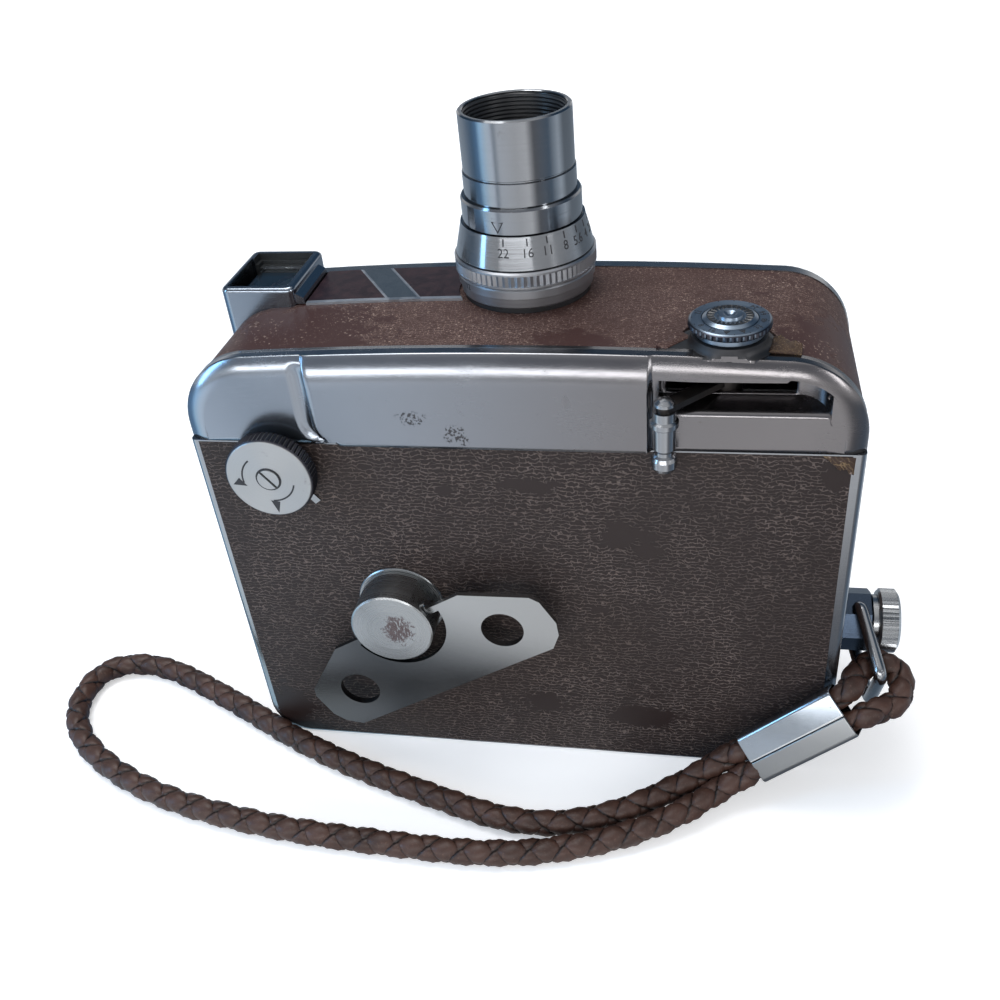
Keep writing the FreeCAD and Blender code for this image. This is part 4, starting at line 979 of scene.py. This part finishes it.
def makeCap():
    points = np.stack([capColumn(*station) for station in capStations()])
    nu, nv = points.shape[:2]
    grid = gridFaces(nu, nv).reshape(nu - 1, nv - 1, 4)
    # the slot behind the lever is left out
    xs = points[:, -1, 0]
    slotLeft, slotRight = pocket["slotEnds"]
    keep = np.ones(grid.shape[:2], bool)
    inSlot = (xs[:-1] >= slotLeft - 0.01) & (xs[1:] <= slotRight + 0.01)
    keep[inSlot, edgePoints + slotRow:edgePoints + slotRow + 3] = False
    parts = [(points.reshape(-1, 3) * mm, grid[keep].tolist())]
    # the short upright ends below the corners
    for side in (0, -1):
        drops = np.linspace(0, capForm["seam"] - cornerZ, 4)
        strip = np.stack([points[side, :edgePoints] + [0, 0, drop] for drop in drops])
        own = gridFaces(4, edgePoints)
        if side == 0:
            own = own[:, ::-1]
        parts.append((strip.reshape(-1, 3) * mm, own.tolist()))
    # the dial's boss, turned, its foot held behind the rounded edge
    angle = np.linspace(0, 2 * np.pi, 96, endpoint=False)
    radius, level = (np.array(v)[:, None] for v in zip(*dialBoss["profile"]))
    ring = roundAxis(dialAxis, radius, angle[None], level)
    ring[..., 1] = np.maximum(ring[..., 1], dialBoss["front"])
    parts.append((ring.reshape(-1, 3) * mm, gridFaces(*ring.shape[:2], closeU=True, closeV=True).tolist()))
    obj = joined("capShell", parts, smooth=True)
    work = bmesh.new()
    work.from_mesh(obj.data)
    bmesh.ops.remove_doubles(work, verts=work.verts, dist=0.000004)
    bmesh.ops.dissolve_degenerate(work, edges=work.edges, dist=0.000002)
    bmesh.ops.recalc_face_normals(work, faces=work.faces)
    work.to_mesh(obj.data)
    work.free()
    sharpPast(obj, 38)
    thickened(obj, capForm["wall"])
    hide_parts("front_cap")
    fitted(obj, "camera", "satin_chrome", capChrome, bossSteel)
    # the boss and the crown under it are bare metal
    for face in obj.data.polygons:
        x, y, z = np.array(face.center) / mm
        away = math.hypot(x - dialAxis[0] / mm, y - dialAxis[1] / mm)
        if z > 102.6 and away < 8.1 and y > dialBoss["front"]:
            face.material_index = 1


def makeBossPlate():
    # bare metal round the dial where the covering is torn away: a disc on the crown, wider in front, its
    # edge waved twice
    angle = np.linspace(0, 2 * np.pi, 120, endpoint=False)[:, None]
    share = np.linspace(0, 1, 7)[None]
    ragged = 7.6 + 4.4 * smoothStep(0.35 - np.sin(angle))
    ragged = ragged + 0.3 * np.sin(7 * angle) + 0.2 * np.sin(19 * angle + 1.3)
    reach = 6.0 + (ragged - 6.0) * share
    x = dialAxis[0] / mm + reach * np.cos(angle) * (1 + 0.12 * share)
    y = np.maximum(dialAxis[1] / mm + reach * np.sin(angle), -17.22)
    z = crownAt(x) - 0.06 - 0.08 * share ** 6
    obj = gridMesh("bossPlate", np.stack([x, y, z], -1), closeU=True)
    fitted(obj, "camera", "dark_steel", bossSteel)


tornFlaps = {
    "bossFlapRight": {"lift": (0, 0, 1), "curl": 0.45, "finish": rawHide,
                      "corners": [(46.8, -17.4, 102.6), (52.4, -17.4, 102.05), (52.6, -14.0, 102.05),
                                  (48.0, -11.5, 102.5)]},
    "bossFlapLeft": {"lift": (0, 0, 1), "curl": 0.3, "finish": bandGrain,
                     "corners": [(33.4, -12.2, 103.12), (28.9, -17.4, 103.35), (27.2, -16.4, 103.4),
                                 (31.4, -10.4, 103.2)]},
    "cornerFlap": {"lift": (0, -1, 0), "curl": 0.5, "finish": rawHide,
                   "corners": [(57.2, -21.65, 84.2), (63.0, -21.65, 83.9), (62.9, -21.75, 80.6),
                               (59.6, -21.75, 82.2)]},
}


def makeFlap(name, corners, lift, curl, finish):
    # a shred of covering between four corners (along, then across): a straight blend of the corners, plus a
    # low dome, plus the cube of the way across, so that the free edge turns up; that edge is waved ragged
    a, b, c, d = [np.array(p, float) for p in corners]
    u = np.linspace(0, 1, 22)[:, None, None]
    v = np.linspace(0, 1, 12)[None, :, None]
    rag = 1 - 0.13 * (np.sin(23 * u) * 0.5 + np.sin(51 * u + 1) * 0.3 + np.sin(11 * u + 2) * 0.4) * v
    flat = (a * (1 - u) + b * u) * (1 - v * rag) + (d * (1 - u) + c * u) * v * rag
    dome = 0.25 * np.sin(np.pi * u) * np.sin(np.pi * v)
    turnedUp = curl * v ** 3 * (0.6 + 0.4 * np.sin(9 * u))
    obj = gridMesh(name, flat + np.array(lift, float) * (dome + turnedUp))
    thickened(obj, 0.45)
    fitted(obj, "camera", "brown_leather", finish)


makeCap()
makeBossPlate()
for name, flap in tornFlaps.items():
    makeFlap(name, **flap)
print("cap made")


# engraved marks: outlines in millimetres, laid on a face by a place function of (u, v, rise)
markDepth = {"under": -0.02, "over": 0.03}


def slab(outline, place, low=markDepth["under"], high=markDepth["over"]):
    # the outline twice, below and above the face, with walls between
    outline = np.asarray(outline, float)
    n = len(outline)
    under = place(outline[:, 0], outline[:, 1], low)
    over = place(outline[:, 0], outline[:, 1], high)
    walls = [[i, (i + 1) % n, n + (i + 1) % n, n + i] for i in range(n)]
    return np.concatenate([under, over]) * mm, [list(range(n))[::-1], list(range(n, 2 * n))] + walls


def digits(text, size, place, u=0.0, v=0.0, lean=0.0):
    # plain figures of the given height, centred on (u, v) and leaning by an angle
    curve = bpy.data.curves.new("digits", "FONT")
    curve.body = text
    curve.size = size / 0.7
    curve.align_x = "CENTER"
    curve.align_y = "CENTER"
    curve.extrude = 0.5
    curve.resolution_u = 3
    mesh = evaluatedMesh(linked(bpy.data.objects.new("digits", curve)))
    x, y, z = np.array([vert.co for vert in mesh.vertices]).T
    c, s = math.cos(lean), math.sin(lean)
    rise = np.where(z > 0, markDepth["over"], markDepth["under"])
    return place(u + c * x - s * y, v + s * x + c * y, rise) * mm, [list(p.vertices) for p in mesh.polygons]


def marks(name, parts, body, slot="bright_steel"):
    return fitted(joined(name, parts), body, slot, engraved)


def radially(outline, degrees):
    # an outline of (radius, aside) turned to an azimuth
    a = math.radians(degrees)
    c, s = math.cos(a), math.sin(a)
    return [(r * c - w * s, r * s + w * c) for r, w in outline]


def barOutline(u, v0, v1, width):
    return [(u - width / 2, v0), (u + width / 2, v0), (u + width / 2, v1), (u - width / 2, v1)]


def roundLens(z0, r0, z1, r1, facing):
    # u runs round the lens from an azimuth in degrees, v up the slope from (r0, z0) to (r1, z1)
    slope = math.hypot(z1 - z0, r1 - r0)
    upZ, upR = (z1 - z0) / slope, (r1 - r0) / slope

    def place(u, v, rise):
        out = r0 + v * upR + rise * upZ
        return roundAxis(lensAxis, out, math.radians(facing) + u / r0, z0 + v * upZ - rise * upR)
    return place


lensMarks = {
    "figure": 1.75, "tick": 1.35, "tickWidth": 0.3, "tickGap": 0.35, "figureGap": 1.35,
    "stops": {"22": -98.5, "16": -77.6, "11": -60.0, "8": -42.5, "5.6": -27.0, "4": -12.5, "2.8": 3.0},
    "pointer": -104.0, "triangle": 2.5, "line": 0.32,
    "focusFigure": 1.1, "focus": {"12": -138.0, "6": -158.0, "4": -178.0, "3": 164.0, "2": 146.0},
}
focusLow, focusHigh = spanOf("focus_ring")
ringLow, ringHigh = spanOf("aperture_ring")
baseLow, baseHigh = spanOf("base_ring")
focusRadius = (focusHigh[0] - focusLow[0]) / 2
ringRadius = (ringHigh[0] - ringLow[0]) / 2


def stopScale():
    m = lensMarks
    low, high = focusHigh[2] + 0.35, ringLow[2] - 0.05
    lowRadius, highRadius = focusRadius - 0.45, focusRadius - 1.9
    reach = math.hypot(high - low, highRadius - lowRadius) - m["tickGap"]
    parts = []
    for text, facing in m["stops"].items():
        place = roundLens(low, lowRadius, high, highRadius, facing)
        parts.append(slab(barOutline(0, reach - m["tick"], reach, m["tickWidth"]), place))
        parts.append(digits(text, m["figure"], place, 0.0, reach - m["tick"] - m["figureGap"]))
    marks("stopScale", parts, "barrel")


def ringPointer():
    # an open triangle, point down, from three bars
    middle = (ringLow[2] + ringHigh[2]) / 2
    place = roundLens(middle - 2, ringRadius, middle + 2, ringRadius, lensMarks["pointer"])
    w = lensMarks["triangle"] / 2
    corners = [np.array(p) for p in ((-w, 1.1 + 0.85 * w), (0, 1.1 - 0.95 * w), (w, 1.1 + 0.85 * w))]
    centre = sum(corners) / 3
    inner = 1 - 2.3 * lensMarks["line"] / (2 * w)
    parts = []
    for a, b in zip(corners, corners[1:] + corners[:1]):
        parts.append(slab([a, b, centre + (b - centre) * inner, centre + (a - centre) * inner], place))
    marks("ringPointer", parts, "aperture")


def focusFigures():
    radius = focusRadius - 0.4
    place = roundLens(baseLow[2] + 2.2, radius, baseHigh[2], radius, 0)
    parts = [digits(text, lensMarks["focusFigure"], place, math.radians(facing) * radius, 0.75)
             for text, facing in lensMarks["focus"].items()]
    marks("focusFigures", parts, "camera")


dialMarks = {
    "figure": 1.05, "radius": 5.95,
    "figures": {"8": -148, "16": -122, "32": -38, "48": -12, "64": 16, "24": 44, "12": 160},
    "pointers": (-96, -68), "pointer": [(6.6, 0), (5.35, 0.62), (5.35, -0.62)],
    "ticks": range(-180, 180, 24), "tick": [(6.62, -0.09), (6.85, -0.09), (6.85, 0.09), (6.62, 0.09)],
}
dialHub = {"foot": 4.9, "shoulder": 4.1, "inner": 2.55, "high": 0.45, "teeth": 24, "toothDeep": 0.16}
dialTop = spanOf("speed_dial")[1][2]


def dialFigures():
    # numbers read from outside the dial, two pointers in front
    def place(u, v, rise):
        return np.stack([dialAxis[0] / mm + u, dialAxis[1] / mm + v, dialTop + rise + 0 * u], -1)

    m = dialMarks
    parts = []
    for text, facing in m["figures"].items():
        (u, v), a = radially([(m["radius"], 0)], facing)[0], math.radians(facing)
        parts.append(digits(text, m["figure"], place, u, v, a + math.pi / 2))
    for shape, facings in (("pointer", m["pointers"]), ("tick", m["ticks"])):
        parts += [slab(radially(m[shape], facing), place) for facing in facings]
    marks("dialFigures", parts, "dial", "dark_steel")


def makeDialHub():
    # turned ring with a sloping side; its dark top is cut into teeth by a wave round the axis
    h = dialHub
    angle = np.linspace(0, 2 * np.pi, h["teeth"] * 8, endpoint=False)[None]
    tooth = smoothStep(np.abs(((angle * h["teeth"] / (2 * np.pi)) % 1) * 2 - 1) * 2 - 0.5)
    rows = [(h["foot"], -0.1, 0), (h["foot"], 0.02, 0), (h["shoulder"] + 0.1, h["high"], 0),
            (h["shoulder"], h["high"], 0), (h["shoulder"] - 0.12, h["high"] - 0.02, 1),
            (h["inner"] + 0.35, h["high"] - 0.02, 1), (h["inner"] + 0.25, h["high"] - 0.1, 0),
            (h["inner"], h["high"] - 0.12, 0), (h["inner"], -0.1, 0)]
    radius, rise, cut = (np.array(v)[:, None] for v in zip(*rows))
    level = dialTop + rise - cut * h["toothDeep"] * tooth
    obj = gridMesh("dialHub", roundAxis(dialAxis, radius, angle, level), closeU=True, closeV=True)
    fitted(obj, "dial", "dark_steel", dialSteel, threadBlack)
    blackFrom, blackTo = 3 * angle.size, 7 * angle.size
    for face in obj.data.polygons:
        if all(blackFrom <= v < blackTo for v in face.vertices):
            face.material_index = 1
    sharpPast(obj, 30)


# latch knob: arrows in units of the face's radius, the screw in millimetres
latchMarks = {
    "radius": 8.5, "line": 0.040,
    "left": {"reach": 0.63, "from": 128, "to": 190,
             "head": [(-0.72, 0.02), (-0.90, -0.17), (-0.56, -0.20)]},
    "right": {"reach": 0.60, "from": -90, "to": -14,
              "head": [(-0.07, -0.60), (0.06, -0.95), (0.15, -0.63)]},
}
latchScrew = {"ring": 2.62, "radius": 2.2, "halfSlot": 0.27, "lean": -52, "floor": -0.3, "high": 0.26}


def onKnob(scale):
    # u to the right and v up from the knob's axis, rise towards the near side
    face = spanOf("latch_knob")[0][1]

    def place(u, v, rise):
        x = knobAxis[0] / mm + scale * u
        return np.stack([x, face - rise + 0 * u, knobAxis[2] / mm + scale * v], -1)
    return place


def latchArrows():
    place = onKnob(latchMarks["radius"])
    half = latchMarks["line"] / 2
    parts = []
    for m in (latchMarks["left"], latchMarks["right"]):
        a = np.radians(np.linspace(m["from"], m["to"], 16))
        ray = np.stack([np.cos(a), np.sin(a)], 1)
        arc = np.concatenate([(m["reach"] - half) * ray, (m["reach"] + half) * ray[::-1]])
        parts += [slab(arc, place), slab(m["head"], place)]
    marks("latchArrows", parts, "latch")


def makeLatchScrew():
    # a dark ring and floor with the screw's two half heads on it, parted by the slot
    screw = latchScrew
    place = onKnob(1.0)
    a = np.radians(np.linspace(0, 360, 49)[:-1])
    disc = np.stack([screw["ring"] * np.cos(a), screw["ring"] * np.sin(a)], 1)
    marks("latchRing", [slab(disc, place, screw["floor"])], "latch")
    half = math.asin(screw["halfSlot"] / screw["radius"])
    a = np.linspace(half, math.pi - half, 24)
    arc = screw["radius"] * np.stack([np.cos(a), np.sin(a)], 1)
    parts = [slab(radially(arc * side, screw["lean"]), place, 0.0, screw["high"]) for side in (1, -1)]
    obj = joined("latchScrewHead", parts)
    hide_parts("latch_screw")
    fitted(obj, "latch", "bright_steel", knobSteel)


def bossIndex():
    # short level dash on the front of the dial's boss
    radius = 6.95
    level = spanOf("front_cap")[1][2] - 2.6

    def place(u, v, rise):
        return roundAxis(dialAxis, radius + rise, math.radians(-90) + u / radius, level + v)

    marks("bossIndex", [slab(barOutline(0, -0.12, 0.12, 0.9), place)], "camera", "satin_chrome")


stopScale()
ringPointer()
focusFigures()
dialFigures()
makeDialHub()
latchArrows()
makeLatchScrew()
bossIndex()
print("marks engraved")


# blackened threads inside the lens hood: a ridge winds up the bore
hood = {"pitch": 0.75, "turns": 9, "depth": 0.28, "gap": 0.03, "wall": 1.2, "lip": 0.45, "around": 96}


def hoodThreads():
    # radius falls and rises once a pitch, and the profile climbs a pitch each turn
    low, high = spanOf("front_barrel")
    bore = (high[0] - low[0]) / 2 - hood["wall"] - hood["gap"]
    angle = np.linspace(0, 2 * np.pi, hood["around"], endpoint=False)[:, None]
    level = np.linspace(0, 1, hood["turns"] * 6 + 1)[None]
    wave = np.abs(((level * hood["turns"] + angle / (2 * np.pi)) % 1.0) * 2 - 1)
    r = bore - hood["depth"] * wave
    r[:, 0] = bore
    z = high[2] - hood["lip"] - hood["pitch"] * hood["turns"] * level
    obj = gridMesh("hoodThreads", roundAxis(lensAxis, r, angle, z), closeU=True)
    fitted(obj, "barrel", "black_paint", threadBlack)


hoodThreads()
print("hood threads cut")


# floor: white to the camera; what bright metal sees of it changes round the object, as in a room with
# windows. Each tone is an azimuth and a colour
roomTones = [
    (-180, 0.15, 0.24, 0.34), (-167, 0.18, 0.32, 0.48), (-158, 0.62, 0.86, 1.00), (-143, 0.95, 1.00, 1.00),
    (-134, 0.95, 0.97, 1.00), (-127, 0.42, 0.45, 0.48), (-118, 0.80, 0.81, 0.82), (-84, 0.74, 0.73, 0.72),
    (-62, 0.95, 0.93, 0.91), (-47, 0.20, 0.20, 0.21), (-14, 0.16, 0.22, 0.29), (10, 0.80, 0.88, 0.95),
    (26, 0.30, 0.34, 0.38), (90, 0.24, 0.28, 0.32), (150, 0.40, 0.46, 0.52), (180, 0.15, 0.24, 0.34),
]


def paleFloor():
    mat, t, shader, coord = newMaterial("paleFloor")
    rays = t.node("ShaderNodeLightPath").outputs
    x, y, z = t.split(coord)
    turnRound = t.math("MULTIPLY_ADD", t.math("ARCTAN2", y, x), 0.5 / math.pi, 0.5)
    room = t.node("ShaderNodeValToRGB")
    t.join(turnRound, room.inputs["Fac"])
    while len(room.color_ramp.elements) < len(roomTones):
        room.color_ramp.elements.new(0.5)
    for element, (degrees, red, green, blue) in zip(room.color_ramp.elements, roomTones):
        element.position = (degrees + 180) / 360
        element.color = (red, green, blue, 1)
    pale = t.mixed(t.between(t.noise(coord, 3, 2), 0.3, 0.7), (0.84, 0.84, 0.845), (0.86, 0.86, 0.865))
    dimmed = t.vector("MULTIPLY", room.outputs["Color"], (0.85, 0.85, 0.85))
    glow = t.vector("MULTIPLY", room.outputs["Color"], (0.4, 0.4, 0.4))
    glow = t.mixed(rays["Is Glossy Ray"], (0.0, 0.0, 0.0), glow)
    away = t.between(t.vector("LENGTH", coord), 0.25, 0.8)
    clear = t.math("MAXIMUM", rays["Is Camera Ray"], rays["Is Transmission Ray"])
    white = t.mixed(away, (0.40, 0.40, 0.40), (1.0, 1.0, 1.0))
    t.feed(shader, {"Base Color": t.mixed(rays["Is Glossy Ray"], pale, dimmed), "Roughness": 0.8,
                    "Specular IOR Level": 0.1, "Emission Color": t.mixed(clear, glow, white),
                    "Emission Strength": 1.0})
    return mat


floor = meshFrom("floor", [(-4, -4, 0), (4, -4, 0), (4, 4, 0), (-4, 4, 0)], [(0, 1, 2, 3)], smooth=False)
floor.data.materials.append(paleFloor())


# lamps, in metres and watts
lamps = {
    "topBox": {"place": (-0.15, 0.10, 0.75), "size": (0.5, 0.3), "power": 3.0},
    "frontBox": {"place": (-0.10, -0.85, 0.33), "aim": (0, 0, 0.08), "size": (0.9, 0.20), "power": 3.2},
    "leftBox": {"place": (-0.65, -0.30, 0.30), "size": (0.12, 0.45), "power": 1.8,
                "colour": (0.30, 0.62, 1.0)},
    "rightBox": {"place": (0.62, -0.40, 0.42), "size": (0.10, 0.35), "power": 0.9},
}


def softLight(name, place, size, power, aim=(0, 0, 0.05), colour=(1, 1, 1)):
    data = bpy.data.lights.new(name, "AREA")
    data.shape = "RECTANGLE"
    data.size, data.size_y = size
    data.energy = power
    data.color = colour
    obj = linked(bpy.data.objects.new(name, data))
    obj.location = place
    obj.rotation_mode = "QUATERNION"
    obj.rotation_quaternion = (Vector(aim) - Vector(place)).to_track_quat("-Z", "Y")


for name, lamp in lamps.items():
    softLight(name, **lamp)


# world: pale at the horizon, dark blue-grey above it behind the object, paler in front and overhead, and
# white to the camera
world = bpy.data.worlds.new("world")
bpy.context.scene.world = world
world.use_nodes = True
world.node_tree.nodes.clear()
w = Tree(world.node_tree)
sky = w.node("ShaderNodeBackground", Strength=1.0)
skyOut = w.node("ShaderNodeOutputWorld")
w.join(sky.outputs[0], skyOut.inputs[0])
skyX, skyY, skyZ = w.split(w.node("ShaderNodeTexCoord").outputs["Generated"])
band = w.times(w.between(skyZ, 0.16, 0.34), w.between(skyZ, 0.72, 0.92, 1.0, 0.0))
dusk = w.mixed(w.between(skyY, -0.35, 0.35), (0.34, 0.36, 0.40), (0.055, 0.105, 0.170))
shown = w.mixed(band, (0.80, 0.81, 0.83), dusk)
seen = w.node("ShaderNodeLightPath").outputs["Is Camera Ray"]
w.join(w.mixed(seen, shown, (1.0, 1.0, 1.0)), sky.inputs["Color"])
print("floor, lamps and world set")

bpy.context.scene.view_settings.view_transform = "Standard"

print("scene done")
